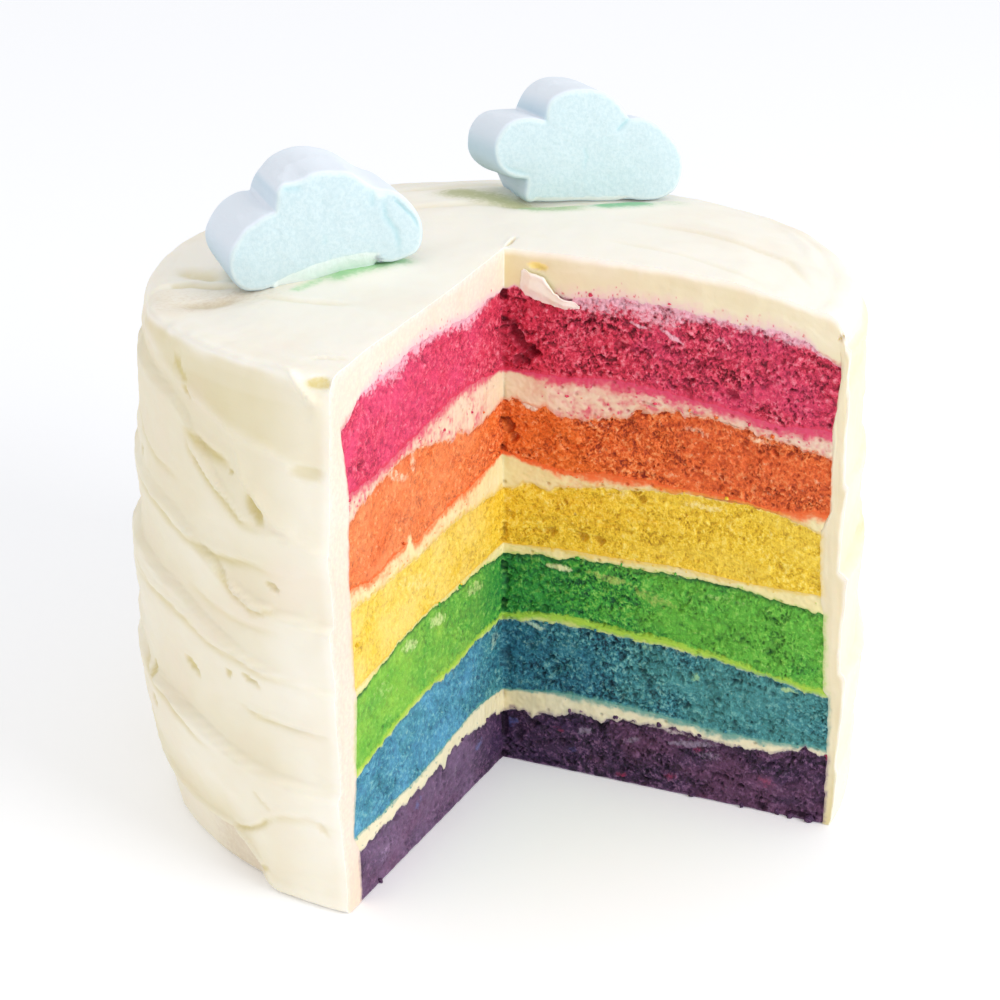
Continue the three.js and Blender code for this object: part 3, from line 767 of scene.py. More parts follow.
# Fillings, from the floor up. Each is coloured by the sponge above and the one below, over reach
# millimetres at the left and the right face. grains is the share of crumb grains worked into it.
fillings = [
    {"upSteps": 16, "tint": "#ece2c2", "above": {"left": [0.8, 0.6], "right": [1.7, 0.9]},
     "below": {"left": [0.6, 0.45], "right": [1.0, 0.5]}, "mottle": 0.12, "grains": 0.08, "clean": 16},
    {"upSteps": 12, "tint": "#dce088", "above": {"left": [1.8, 0.8], "right": [2.4, 0.95]},
     "below": {"left": [0.4, 0.3], "right": [0.7, 0.5]}, "mottle": 0.3, "grains": 0.1, "clean": 0},
    {"upSteps": 14, "tint": "#ede2a6", "above": {"left": [1.4, 0.5], "right": [1.3, 0.6]},
     "below": {"left": [0.8, 0.5], "right": [0.7, 0.5]}, "mottle": 0.16, "grains": 0.1, "clean": 6},
    {"upSteps": 30, "tint": "#ecdfac", "above": {"left": [2.2, 0.75], "right": [2.8, 0.95]},
     "below": {"left": [1.6, 0.6], "right": [1.0, 0.5]}, "mottle": 0.42, "grains": 0.08, "clean": 13,
     "crustLines": {"right": [([(55.8, 96.0), (61.9, 97.2), (72.5, 97.3), (80, 96.3)], 0.25)]}},
    {"upSteps": 32, "tint": "#e8d2ba", "above": {"left": [3.0, 0.85], "right": [3.3, 1.0]},
     "below": {"left": [1.2, 0.5], "right": [1.1, 0.5]}, "mottle": 0.72, "grains": 0.14, "clean": 9,
     "aboveColour": "#d84169",
     "crustLines": {"right": [([(45.2, 123.3), (47.6, 122.9)], 0.3), ([(54.2, 122.6), (55, 122.3)], 0.35),
                              ([(57.6, 122.8), (60, 122.1), (62, 121.0), (64, 121.2)], 0.35),
                              ([(65.2, 121.3), (68, 120.7), (70.4, 120.6), (72.6, 119.9)], 0.35)]}},
]


# Buttercream on a cut face: drawn out by the knife, with grains and stains of the crumb beside it, and pits and the
# corner groove painted dark as shade
def fillingFace(index):
    filling = fillings[index]
    below, above = sponges[index], sponges[index + 1]

    def face(side, across, up, low, high):
        seed = 900 + 40 * index + (0 if side == "left" else 20)
        long, wide = (5.0, 1.1) if side == "left" else (1.7, 2.2)     # the knife dragged the left face down
        streaks = layeredNoise(across / wide, up / long, seed)
        blotches = layeredNoise(across / 4.2, up / 2.4, seed + 5)
        away = smoothStep(filling["clean"] - 6, filling["clean"] + 10, across) if filling["clean"] else 1.0
        aboveReach, aboveAmount = filling["above"][side]
        belowReach, belowAmount = filling["below"][side]
        fine = layeredNoise(across / 1.1, up / 0.9, seed + 13, 2)
        aboveReach = aboveReach * (0.35 + 0.65 * away) * (1 + 0.55 * softNoise(across / 4.4, 0.5, seed + 21))
        belowReach = belowReach * (1 + 0.6 * softNoise(across / 3.1, 0.5, seed + 23))
        ragged = 0.5 * streaks + 0.3 * fine
        fromAbove = aboveAmount * (1 - smoothStep(0.15, 1.5, (high - up + ragged * aboveReach * 0.7) / aboveReach))
        fromBelow = belowAmount * (1 - smoothStep(0.1, 1.5, (up - low + ragged) / belowReach))
        drawn = filling["mottle"] * away * np.clip(0.34 + 0.6 * streaks + 0.75 * blotches + 0.45 * fine, 0, 1)
        fromAbove = np.clip(np.maximum(fromAbove, drawn), 0, 1)
        nearest, _, own = cells(across / 1.25 + 0.5 * streaks, up / 1.05 + 0.5 * blotches, seed + 11)
        near = np.clip(0.35 + 1.5 * np.maximum(fromAbove, fromBelow), 0, 1.6)
        speck = np.clip(1.4 - nearest / (0.22 + 0.3 * own), 0, 1) * (own < filling["grains"] * away * near)
        # pits: small sunk bubbles, painted dark as their shade
        pitNearest, _, pitOwn = cells(across / 3.4, up / 2.6, seed + 17)
        pit = np.clip(1 - (pitNearest / 0.22) ** 2, 0, 1) * (pitOwn < 0.18)
        depth = 0.16 + 0.16 * streaks + 0.22 * layeredNoise(across / 6, up / 3, seed + 9)
        depth = depth + 0.1 * fine + 0.5 * pit - 0.25 * speck
        # the corner groove is sunk and painted dark as shade
        groove = smoothStep(0.1, 0.6, softNoise(up / 4.3, 0.5, seed + 15)) * np.clip(1 - across / 0.8, 0, 1)
        depth = depth + 1.0 * groove
        shareAbove = (fromAbove / np.clip(fromAbove + fromBelow, 1e-6, None))[..., None]
        aboveColour = filling.get("aboveColour", above["bleed"])
        colour = mix(np.array(linear(below["bleed"])), np.array(linear(aboveColour)), shareAbove)
        # the stain also darkens the pits, as painted shade
        stain = np.clip(np.maximum(fromAbove, fromBelow) + 0.3 * pit + 0.9 * speck, 0, 1)
        # more khaki towards the inner corner, and in blotches
        tone = 0.1 + 0.25 * (across < 14) * filling["clean"] / 16 + 0.12 * blotches
        for line, halfWidth in filling.get("crustLines", {}).get(side, []):
            distance = distanceToLine(across + 0.3 * fine, up + 0.2 * streaks, line)[0]
            crust = np.clip(1.3 - distance / halfWidth, 0, 1)
            pit = np.maximum(pit, 1.7 * crust)
            depth = depth - 0.35 * crust
        fromBorder = np.minimum(np.minimum(high - up, up - low), wallRadius(side, up) - across)
        depth = mix(borderDepth, depth, smoothStep(0, 0.6, fromBorder))
        return depth, {"stain": stain, "stainColour": colour, "pore": 0.5 * pit + 0.7 * groove, "hollow": tone}
    return face


# Icing: creamy, painted khaki as shade in its hollows, creases and shaded parts, with stains where it touches the
# crumb, painted shadows under the clouds, and pits painted dark as shade
def icingMaterial(name, tint):
    material, tree, shader = newMaterial(name)
    grit = noiseNode(tree, 1500, 2.0, 0.6)
    broad = noiseNode(tree, 38, 3.0, 0.5)
    silk = noiseNode(tree, 260, 2.0, 0.5)
    # painted khaki shade, with a little random tone
    warm = sum2(tree, "ADD", paintedValue(tree, "hollow"), rangeNode(tree, broad, 0.3, 0.7, -0.07, 0.07))
    colour = mixColours(tree, warm, linear(tint), linear(icingColours["hollow"]))
    colour = mixColours(tree, rangeNode(tree, broad, 0.5, 0.75, 0, 0.2), colour, linear(icingColours["pinkish"]))
    stain = sum2(tree, "MULTIPLY", paintedValue(tree, "stain"), 0.6)
    speckled = speckledStain(tree, noiseNode(tree, 700, 2.0, 0.6), 0.7, 0.38)
    stain = sum2(tree, "ADD", stain, speckled)
    colour = mixColours(tree, stain, colour, paintedValue(tree, "stainColour", "Color"))
    # painted dark shade in pits and grooves, and brown crust lines
    colour = mixColours(tree, sum2(tree, "MULTIPLY", paintedValue(tree, "pore"), 0.6), colour, linear("#7d6643"))
    tree.links.new(colour, shader.inputs["Base Color"])
    tree.links.new(rangeNode(tree, silk, 0.35, 0.65, 0.5, 0.62), shader.inputs["Roughness"])
    shader.inputs["Specular IOR Level"].default_value = 0.3
    shader.inputs["Subsurface Weight"].default_value = 0.2
    shader.inputs["Subsurface Radius"].default_value = (1.0, 0.75, 0.45)
    shader.inputs["Subsurface Scale"].default_value = 0.003
    relief = sum2(tree, "ADD", silk, sum2(tree, "MULTIPLY", grit, 0.35))
    tree.links.new(bumpNode(tree, relief, 0.2, 0.5), shader.inputs["Normal"])
    return material


# Icing coat. Its outside at five heights at three azimuths, the ridges that the palette knife left,
# the foot set back under the lowest band, and the top's heights at shares of its radius.
coat = {
    "heights": [0, 35, 75, 112, 150],
    "azimuths": [0, 213, 270],
    "radii": [[106, 107.5, 105.8, 105, 103], [105.5, 108.6, 109, 107, 103.5], [104.5, 107.5, 109.2, 110.5, 107.5]],
    "ridges": [(45, 5, 4, 50), (77, 7, 8, 15), (103, 12, 6, 35), (133, 21, 7, 20)],   # height, dip, wander, phase
    "ridgeDepth": 2.8, "ridgeStep": 2.2, "dipFrom": 236, "dipTo": 258,
    "footHeight": 17, "footWander": 3, "footRecess": 3.4, "footLip": 0.7, "footTaper": 1.8,
    "footFadeIn": (40, 130), "footFadeOut": (250, 258),
    "footSeen": ([227, 233, 237.5, 247, 251.5, 255.1, 257, 259], [16.6, 15.8, 15.1, 15, 9.7, 4.5, 1, 0]),
    "rimRounding": 9, "rimSquare": 4.6, "rimCrest": 1.1,
    "crestAzimuths": [216, 228, 238, 246, 252, 258, 264, 269],
    "crestHeights": [152, 149.6, 144.6, 141.8, 138, 135.8, 132.8, 130.2],
    "topShares": [0, 0.2, 0.4, 0.58, 0.74, 0.88, 1],
    "topRight": [164, 164, 163.6, 163.2, 162.4, 160.2, 157.4],
    "topLeft": [164, 162.8, 161.7, 161, 160.4, 159.8, 158.8],
    "topSwirl": 0.7,
    "trough": {"azimuth": 222, "radius": 90, "depth": 2.2, "widthAzimuth": 16, "widthRadius": 11},
    "topSteps": 84, "rimSteps": 18, "sideSteps": 112, "footSteps": 30, "footZone": 23,
    "stripSteps": 20, "wallSteps": 190,
    "fineFrom": 209, "fineStep": 0.42, "rightFineTo": 22, "rightStep": 0.6, "plainStep": 1.8,
}


# Knife creases on the side: places as (azimuth, height), then depth, half width and lip height
seenCreases = [
    ([(216, 152), (228, 149.6), (238, 144.6), (246, 141.8), (252, 138), (258, 135.8), (264, 132.8), (269, 130.2)],
     -0.9, 1.6, 0.3),
    ([(260.5, 159.0), (263.4, 157.6), (265.2, 155.0), (266.8, 152.6), (269.0, 150.2)], -1.8, 1.3, 0.2),
    ([(240.2, 133.1), (246.2, 130), (252.4, 127.2)], 0.9, 1.3, 0.5),
    ([(240.7, 131.6), (242.5, 127.4), (245.7, 123.7), (250.4, 118.8), (255, 113.4), (259.2, 113)], 0.8, 1.0, 0.4),
    ([(252, 138), (254.9, 124.7), (257.9, 119), (264.5, 113.3), (269, 111.2)], -0.8, 1.3, 0.3),
    ([(255.2, 120.9), (257.1, 118.1), (259.1, 116.1)], 1.0, 1.5, 0.3),
    ([(216, 107), (223.8, 105.2), (232.9, 104.2), (239.6, 101.7), (243.8, 101.1), (248.7, 99.5), (256.9, 101.3),
      (262.3, 100.7)], 0.7, 1.2, 0.5),
    ([(248.4, 99.1), (250.7, 94.6), (253, 91.4), (256.6, 88.9), (261.8, 90.9)], 0.8, 0.9, 0.5),
    ([(216.8, 76.1), (231, 77.6), (239.9, 76.4), (246.5, 73.2), (251.6, 71.8), (258, 69.8), (263.7, 69.6), (269.4, 68.8)],
     0.6, 1.1, 0.6),
    ([(213, 81), (223.4, 79.1), (237.8, 78.2), (248.5, 75.4)], 0.5, 0.8, 0.3),
    ([(217, 53), (221, 49.8), (226.9, 45.8), (233, 44.7), (238.9, 42.8), (246.1, 38.7)], 0.8, 1.2, 0.5),
    ([(251.8, 58.4), (256, 56.3), (261.6, 55.7), (269.2, 55.6)], 0.7, 0.9, 0.5),
    ([(254.4, 33.4), (256.1, 30.2), (258.1, 27.9)], 0.4, 0.8, 0.2),
    ([(247, 15), (250.9, 16.8), (254, 19.7), (256, 23.1), (258, 25.1)], 0.9, 0.9, 0.5),
    ([(256.5, 24.4), (260, 27.2), (264.5, 29.1), (269.4, 27.7)], 0.5, 1.3, 0.4),
    ([(241, 88), (247, 84.5), (254, 83), (262, 84)], 0.35, 1.2, 0.2),
    ([(215, 128), (222, 121), (231, 117), (240, 116)], 0.45, 1.2, 0.3),
]

# Hollows that the knife's tip left: azimuth, height, half width along, half height, turn, depth
seenHollows = [
    (239.2, 147.6, 4.0, 1.3, -28, 1.1), (241.3, 143.1, 2.2, 1.0, -35, 0.9), (268.2, 156.3, 4.2, 1.5, 4, 0.9),
    (266.2, 131.6, 5.0, 2.0, 3, 0.9), (257.2, 117.8, 4.6, 1.7, -48, 0.9), (260.1, 97.1, 2.4, 1.0, -25, 1.1),
    (241, 62, 4.0, 1.2, -25, 0.9), (250.8, 66.8, 1.2, 1.0, 0, 0.8), (255.6, 67.5, 3.4, 0.9, -18, 0.9),
    (225.9, 49, 3.2, 1.2, -50, 0.8), (267, 27, 2.4, 1.4, -40, 0.4), (252.5, 126.2, 1.0, 0.7, 0, 0.6),
    (253, 5.6, 3.4, 1.5, 10, 0.3),
]


def unseenMarks():
    # the same kinds of creases and hollows for the part of the side that the photo doesn't show
    chance = np.random.default_rng(5)
    creases, hollows = [], []
    for lane in range(7):
        start = 8 + 6 * chance.random()
        while start < 204:
            height = 22 + 19.5 * lane + 8 * chance.random()
            length = 14 + 22 * chance.random()
            drop = 3 + 9 * chance.random()
            bow = 4 * (chance.random() - 0.5)
            line = [(start + length * share, height - drop * share + bow * math.sin(math.pi * share))
                    for share in (0, 0.33, 0.66, 1)]
            kind = -1 if chance.random() < 0.25 else 1
            creases.append((line, kind * (0.5 + 0.5 * chance.random()), 0.9 + 0.6 * chance.random(), 0.4))
            if chance.random() < 0.45:
                hollows.append((start + length + 2, height - drop - 2, 1.2 + 2 * chance.random(),
                                0.9 + 0.6 * chance.random(), -30 * chance.random(), 0.8 + 0.5 * chance.random()))
            start += length + 8 + 16 * chance.random()
    return creases, hollows


degreeLength = math.radians(1) * 107   # millimetres round the side for one degree


def distanceToLine(x, y, line):
    # distance to a broken line, signed distance above it, and how far along it the nearest point is
    best = np.full(x.shape, 1e9)
    above = np.zeros(x.shape)
    along = np.zeros(x.shape)
    points = np.array(line, float)
    lengths = np.hypot(*np.diff(points, axis=0).T)
    starts = np.concatenate([[0], np.cumsum(lengths)])
    for part in range(len(points) - 1):
        (startX, startY), (endX, endY) = points[part], points[part + 1]
        stepX, stepY = (endX - startX) / lengths[part], (endY - startY) / lengths[part]
        onward = np.clip((x - startX) * stepX + (y - startY) * stepY, 0, lengths[part])
        offX, offY = x - startX - onward * stepX, y - startY - onward * stepY
        distance = np.hypot(offX, offY)
        closer = distance < best
        best = np.where(closer, distance, best)
        above = np.where(closer, offY * stepX - offX * stepY, above)
        along = np.where(closer, (starts[part] + onward) / starts[-1], along)
    return best, above, along


def ridgeLines(azimuth):
    lines = []
    for height, dip, wander, phase in coat["ridges"]:
        fall = dip * smoothStep(coat["dipFrom"], coat["dipTo"], azimuth)
        lines.append((height - fall + wander * np.sin(np.radians(2 * azimuth + phase)),
                      coat["ridgeDepth"] * (0.72 + 0.28 * np.sin(np.radians(3.3 * azimuth + 7 * phase)))))
    return lines


def coatRadius(up, azimuth):
    rings = [np.interp(up, coat["heights"], radii) for radii in coat["radii"]]
    share = np.clip(azimuth / coat["azimuths"][1], 0, 1)
    farShare = np.clip((azimuth - coat["azimuths"][1]) / (coat["azimuths"][2] - coat["azimuths"][1]), 0, 1)
    return mix(mix(rings[0], rings[1], share), rings[2], farShare)


# The bands that the knife left, each stepped out over the one below, and the foot set back. Recessed bands are painted
# with khaki shade and the tucked foot with painted shade
def sideBands(azimuth, up, rimUp):
    seen = smoothStep(222, 229, azimuth)
    footUp = mix(coat["footHeight"] + coat["footWander"] * np.sin(np.radians(4 * azimuth)),
                 np.interp(azimuth, *coat["footSeen"]), seen)
    footStrength = smoothStep(*coat["footFadeIn"], azimuth) * (1 - smoothStep(*coat["footFadeOut"], azimuth))
    ridges = ridgeLines(azimuth)
    bandFoot = np.maximum(footUp, 3)
    lines = [bandFoot] + [line for line, strength in ridges] + [rimUp]
    strengths = [0.5 * coat["ridgeDepth"] + 0 * azimuth] + [strength for line, strength in ridges] + [0 * azimuth]
    relief = np.zeros(up.shape)
    for band in range(1, len(lines)):
        start = lines[band - 1] + coat["ridgeStep"]
        share = np.clip((up - start) / (lines[band] - start), 0, 1)
        rise = mix(-strengths[band - 1] / 2, strengths[band] / 2, share ** 1.4)
        lip = smoothStep(0, 1, (up - lines[band - 1]) / coat["ridgeStep"])
        under = (0 if band == 1 else strengths[band - 1] / 2)
        relief = np.where(up > lines[band - 1], mix(under, rise, lip), relief)
    relief = relief - coat["footTaper"] * footStrength * (1 - smoothStep(0, 17, up - footUp))
    relief = relief + coat["footLip"] * footStrength * np.exp(-((up - footUp - 0.9) / 0.9) ** 2)
    tuck = smoothStep(0, 0.9, footUp - up) * mix(0.5, 1.0, np.clip(1 - up / np.maximum(footUp, 1), 0, 1))
    relief = relief - coat["footRecess"] * footStrength * tuck * np.clip(footUp / 10, 0, 1)
    # painted khaki shade where a band is recessed
    hollow = np.clip(-relief / 2.6, 0, 1) * 0.25
    # painted shade on the foot tucked under the lowest band
    footStain = mix(0.0, 0.75, smoothStep(234, 246, azimuth)) * footStrength * smoothStep(0, 1.5, footUp - up)
    relief = relief - 1.5 * np.clip(1 - up / 1.8, 0, 1) ** 2
    return relief, hollow * smoothStep(-3, 0, up - footUp), footStain


# Creases, crests and hollows of the side, painted with khaki shade in creases and hollows and lighter on crests and
# lips. A crest is a crease of negative depth.
def sideMarks(azimuth, up):
    x, y = azimuth * degreeLength, up
    x, y = x + 1.2 * layeredNoise(x / 9, y / 7, 65), y + 0.7 * layeredNoise(x / 8, y / 9, 67)
    uneven = 0.7 * layeredNoise(x / 4, y / 3, 69, 2)
    relief = np.zeros(up.shape)
    hollow = np.zeros(up.shape)
    moreCreases, moreHollows = unseenMarks()
    for line, depth, width, lip in seenCreases + moreCreases:
        distance, above, along = distanceToLine(x, y, np.array(line) * (degreeLength, 1))
        feather = np.clip(np.minimum(along, 1 - along) / 0.22, 0.05, 1)
        groove = np.exp(-(distance / width) ** 2) * feather
        shelf = np.exp(-((above - 1.5 * width) / (1.4 * width)) ** 2) * (distance < 5 * width) * feather
        relief = relief - depth * groove + lip * shelf
        # painted shade in the groove, painted light on the lip
        hollow = hollow + np.clip(depth, -0.4, 1) * groove * 0.7 - 0.25 * lip * shelf
    for atAzimuth, atUp, halfX, halfY, turn, depth in seenHollows + moreHollows:
        mark = (atAzimuth * degreeLength, atUp, halfX * 1.25, halfY * 1.25, turn)
        bowl = np.clip(spot(azimuth * degreeLength + uneven, up + 0.5 * uneven, mark), 0, 1)
        relief = relief - depth * bowl
        # painted khaki shade in the hollow
        hollow = np.maximum(hollow, 0.62 * smoothStep(0, 0.8, bowl))
    crestUp = np.interp(azimuth, coat["crestAzimuths"], coat["crestHeights"])
    # a band of painted shade just under the rim's crest
    underRim = smoothStep(0, 3, up - crestUp) * (1 - smoothStep(152, 156, up)) * smoothStep(214, 226, azimuth)
    relief = relief + 0.4 * layeredNoise(x / 16, y / 9, 71) + 0.14 * layeredNoise(x / 5, y / 1.6, 75)
    return relief, hollow + 0.26 * underRim


def topHeight(share, azimuth, radius):
    level = mix(np.interp(share, coat["topShares"], coat["topRight"]),
                np.interp(share, coat["topShares"], coat["topLeft"]), leftShare(azimuth))
    swirl = coat["topSwirl"] * share * np.sin(np.radians(2 * azimuth + 2.4 * radius)) * (1 - smoothStep(0.8, 1, share))
    trough = coat["trough"]
    acrossAzimuth = (azimuth - trough["azimuth"]) / trough["widthAzimuth"]
    acrossRadius = (radius - trough["radius"]) / trough["widthRadius"]
    return level + swirl - trough["depth"] * np.exp(-acrossAzimuth ** 2 - acrossRadius ** 2)


# Marks on the top, as broken lines in x and y: depth, half width and lip height
topCreases = [
    ([(0, 1.5), (-0.6, 6), (-1.9, 12.6)], 1.3, 0.5, 0.25),
    ([(-12, -97), (-7, -95), (-1, -94)], 0.5, 0.7, 0.3),
    ([(-86, -40), (-80, -42), (-74, -43), (-66, -47)], 1.3, 2.6, 0.6),
    ([(-84, -56), (-74, -50), (-66, -51), (-56, -51)], 0.9, 1.2, 0.7),
    ([(-70, -66), (-60, -64), (-52, -60)], 0.8, 3.0, 0.2),
    ([(-51, -58), (-37, -58), (-18, -56)], 0.5, 1.6, 0.2),
    ([(21, 44), (44, 43), (75, 33), (90, 12)], 0.45, 1.5, 0.3),
    ([(52, 80), (64, 68), (74, 54), (82, 34)], -0.5, 2.0, 0.0),
    ([(-60, 20), (-30, 44), (10, 52)], 0.35, 2.0, 0.3),
    ([(-70, 40), (-40, 68), (0, 78)], 0.4, 2.0, 0.3),
    ([(20, 20), (50, 16), (80, 4)], 0.3, 1.5, 0.2),
    ([(-24.3, 44.6), (21.7, 91.9)], 2.5, 7.0, 0.0), ([(-36, -43), (-27, -30), (-19, -18)], -1.3, 8.0, 0.0),
]


def topRelief(x, y):
    relief = 0.28 * layeredNoise(x / 14, y / 20, 81) + 0.06 * layeredNoise(x / 3, y / 3, 85)
    hollow = np.zeros(x.shape)
    for line, depth, width, lip in topCreases:
        distance, above, along = distanceToLine(x, y, line)
        feather = np.clip(np.minimum(along, 1 - along) / 0.25, 0.05, 1)
        groove = np.exp(-(distance / width) ** 2) * feather
        shelf = np.exp(-((above - 1.6 * width) / (1.6 * width)) ** 2) * feather * (distance < 5 * width)
        relief = relief - depth * groove + lip * shelf
        # painted khaki shade in the crease
        hollow = np.maximum(hollow, np.clip(depth, 0, 1) * groove * (0.6 if width < 5 else 0.1))
    return relief, hollow


# Painted shadows on the top: green shadow and reflected colour under the marshmallows, and shade in the trough: line,
# half width, strength and colour
topStains = [
    ([(-40.4, -49.8), (-38.6, -42.6), (-36.8, -36.6)], 3.8, 0.6, "#a6d8a0"),
    ([(-33.5, -37), (-29.5, -30), (-26, -25), (-23.5, -21.5)], 7.5, 0.9, "#9cd496"),
    ([(-40, 54), (-30.1, 53), (-22.9, 51.5), (-16.6, 49.5)], 11.0, 0.9, "#b9bb88"),
    ([(-15, 48.5), (-10.8, 48), (-6.8, 50), (-2, 54)], 9.5, 0.85, "#a9c892"),
    ([(-15, 48.5), (-6, 51), (3, 57), (13, 67), (22, 77)], 9.0, 0.4, "#aacfa0"),
    ([(7, 60), (14.8, 67.8)], 8.5, 0.95, "#7cc48e"),
    ([(-64, -66), (-59, -62.5), (-56, -59), (-53.5, -55)], 11.0, 0.55, "#d3bfa4"),
    ([(-70, -64), (-60, -60), (-52, -54)], 19.0, 0.38, "#dcc9ac"),
]


# Painted golden shade in hollows of the side: azimuth, height, half sizes and turn, then strength and colour
sideStains = [
    ((268.2, 156.3, 4.6, 1.7, 4), 0.7, "#e2cf80"), ((239.2, 147.6, 2.6, 0.8, -28), 0.5, "#e2d28e"),
    ((241.3, 143.1, 1.6, 0.7, -35), 0.45, "#e2d28e"), ((257.2, 117.8, 2.6, 1.0, -48), 0.4, "#dccb86"),
]


def coatAzimuths():
    right = np.arange(0, coat["rightFineTo"], coat["rightStep"])
    plain = np.arange(coat["rightFineTo"], coat["fineFrom"], coat["plainStep"])
    fine = np.linspace(coat["fineFrom"], leftTurn, int((leftTurn - coat["fineFrom"]) / coat["fineStep"]))
    return np.concatenate([right, plain, fine])


def coatOutside():
    # radius, height and painted khaki shade of the outer surface, with its painted stains, shadows and their colours:
    # rows by azimuth, points from the axis down
    azimuth = coatAzimuths()[:, None]
    rounding = coat["rimRounding"]
    flat = coatRadius(150.0, azimuth) - rounding
    share = np.linspace(0, 1, coat["topSteps"])[None, :] ** 0.85
    radius = share * flat
    angle = np.radians(azimuth)
    relief, topHollow = topRelief(radius * np.cos(angle), radius * np.sin(angle))
    up = topHeight(share, azimuth, radius) + relief * smoothStep(0, 0.03, share)
    rimUp = topHeight(np.ones_like(azimuth), azimuth, flat) - rounding
    # the rim is crisper at the front, where it has a thin crest
    crisp = smoothStep(212, 228, azimuth) * (1 - 0.5 * smoothStep(262, 270, azimuth))
    power = 2 / mix(2.2, coat["rimSquare"], crisp)
    bend = np.linspace(0, math.pi / 2, coat["rimSteps"] + 1)[None, 1:]
    rimOut = flat + rounding * np.sin(bend) ** power
    rimHeight = rimUp + rounding * np.cos(bend) ** power
    rimMarks, rimHollow = sideMarks(azimuth + 0 * bend, rimHeight)
    crest = np.exp(-((bend - 0.8) / 0.3) ** 2) * crisp * (0.6 + 0.7 * softNoise(azimuth / 3.1, 0.5, 91))
    moved = rimMarks * smoothStep(0.3, 1.1, bend) + coat["rimCrest"] * crest
    moved = moved + 0.45 * np.sin(2 * bend) * layeredNoise(azimuth / 5, 0.5 + 0 * azimuth, 93)
    rimOut = rimOut + moved * np.sin(bend)
    rimHeight = rimHeight + moved * np.cos(bend) + relief[:, -1:] * np.cos(bend) ** 2
    # the crest is painted lighter as a highlight; the side past the bend and a band under the crest get painted khaki
    # shade
    below = np.exp(-((bend - 1.15) / 0.2) ** 2) * crisp * (0.5 + 0.9 * softNoise(azimuth / 4.3, 0.5, 95))
    rimHollow = 0.06 + rimHollow * smoothStep(0.4, 1.0, bend) - 0.25 * crest + 0.28 * smoothStep(0.9, 1.4, bend)
    rimHollow = rimHollow + 0.35 * np.clip(below, 0, 1)
    zone = coat["footZone"]
    down = np.concatenate([np.linspace(0, 1, coat["sideSteps"] + 1)[1:], np.ones(coat["footSteps"])])[None, :]
    low = np.concatenate([np.zeros(coat["sideSteps"]), np.linspace(0, 1, coat["footSteps"] + 1)[1:]])[None, :]
    sideUp = rimUp + (zone - rimUp) * down - zone * low
    sideAzimuth = azimuth + 0 * sideUp
    bands, bandHollow, footStain = sideBands(sideAzimuth, sideUp, rimUp + 0 * sideUp)
    marks, markHollow = sideMarks(sideAzimuth, sideUp)
    ease = smoothStep(0, 7, rimUp - sideUp)
    sideRadius = coatRadius(sideUp, azimuth) + bands * ease + mix(rimMarks[:, -1:], marks, ease)
    sideRadius = np.maximum(sideRadius, plainWall(azimuth, sideUp) + 2.2)
    radii = np.hstack([radius, rimOut, sideRadius])
    ups = np.hstack([up, rimHeight, np.maximum(sideUp, 0)])
    # the side is painted with khaki shade, more in its upper part and near the right cut
    sideHollow = mix(0.3, 0.42, smoothStep(60, 130, sideUp)) + bandHollow + markHollow
    sideHollow = sideHollow + 0.12 * (1 - smoothStep(8, 24, azimuth))
    hollow = np.hstack([0.0 + topHollow, rimHollow, sideHollow])
    # less painted shade beside the left cut
    hollow = hollow * (1 - 0.45 * smoothStep(256, 266, azimuth) - 0.4 * smoothStep(268, 270, azimuth))
    stain = np.hstack([0 * up, 0 * rimHollow, footStain])
    colour = np.zeros(stain.shape + (3,)) + np.array(linear(icingColours["foot"]))
    # painted shadows and shade on the top
    for line, halfWidth, strength, stainColour in topStains:
        distance = distanceToLine(radii * np.cos(angle), radii * np.sin(angle), line)[0]
        painted = strength * smoothStep(1, 0.05, distance / halfWidth) * (ups > 150)
        colour = np.where((painted > stain)[..., None], np.array(linear(stainColour)), colour)
        stain = np.maximum(stain, painted)
    # painted golden shade in hollows of the side
    for mark, strength, stainColour in sideStains:
        oval = (mark[0] * degreeLength,) + mark[1:]
        painted = strength * smoothStep(0, 0.7, spot(azimuth * degreeLength, ups, oval)) * (radii > 95)
        colour = np.where((painted > stain)[..., None], np.array(linear(stainColour)), colour)
        stain = np.maximum(stain, painted)
    return azimuth[:, 0], radii, ups, np.clip(hollow, 0, 1), stain, colour


# stripTone: painted khaki shade on the cut strips, deeper on the right one, which is turned from the key light, and a
# cap for their outer edge
stripTone = {"left": 0.28, "right": 0.6, "edge": 0.22}     # how khaki the cut strips are, and their outer edge
stripBlush = {"colour": "#efcabf", "amount": 0.55}     # the warm tint of the left strip


# The coat's cut strip runs from the pink sponge's crown and the wall to the outside
def stripLines(side, radii, ups):
    shoulderUp = cornerHeight(11, side)[0]
    edge = wallRadius(side, np.array([shoulderUp]))[0]
    across = np.linspace(0, 1, acrossSteps + 1) * edge
    down = np.linspace(shoulderUp, 0, coat["wallSteps"] + 1)[1:]
    innerAcross = np.concatenate([across, wallRadius(side, down)])
    innerUp = np.concatenate([lineHeight(11, side, across), down])
    innerShares = np.concatenate([across / edge, 2 - down / shoulderUp])
    turn = coat["topSteps"] + coat["rimSteps"] // 2 - 1      # where the outside turns from top to side
    outerShares = np.concatenate([radii[:turn + 1] / radii[turn], 2 - ups[turn + 1:] / ups[turn]])
    outerShares = np.maximum.accumulate(outerShares)
    outerAcross = np.interp(innerShares, outerShares, radii)
    outerUp = np.interp(innerShares, outerShares, ups)
    return innerAcross, innerUp, innerShares, outerAcross, outerUp, outerShares


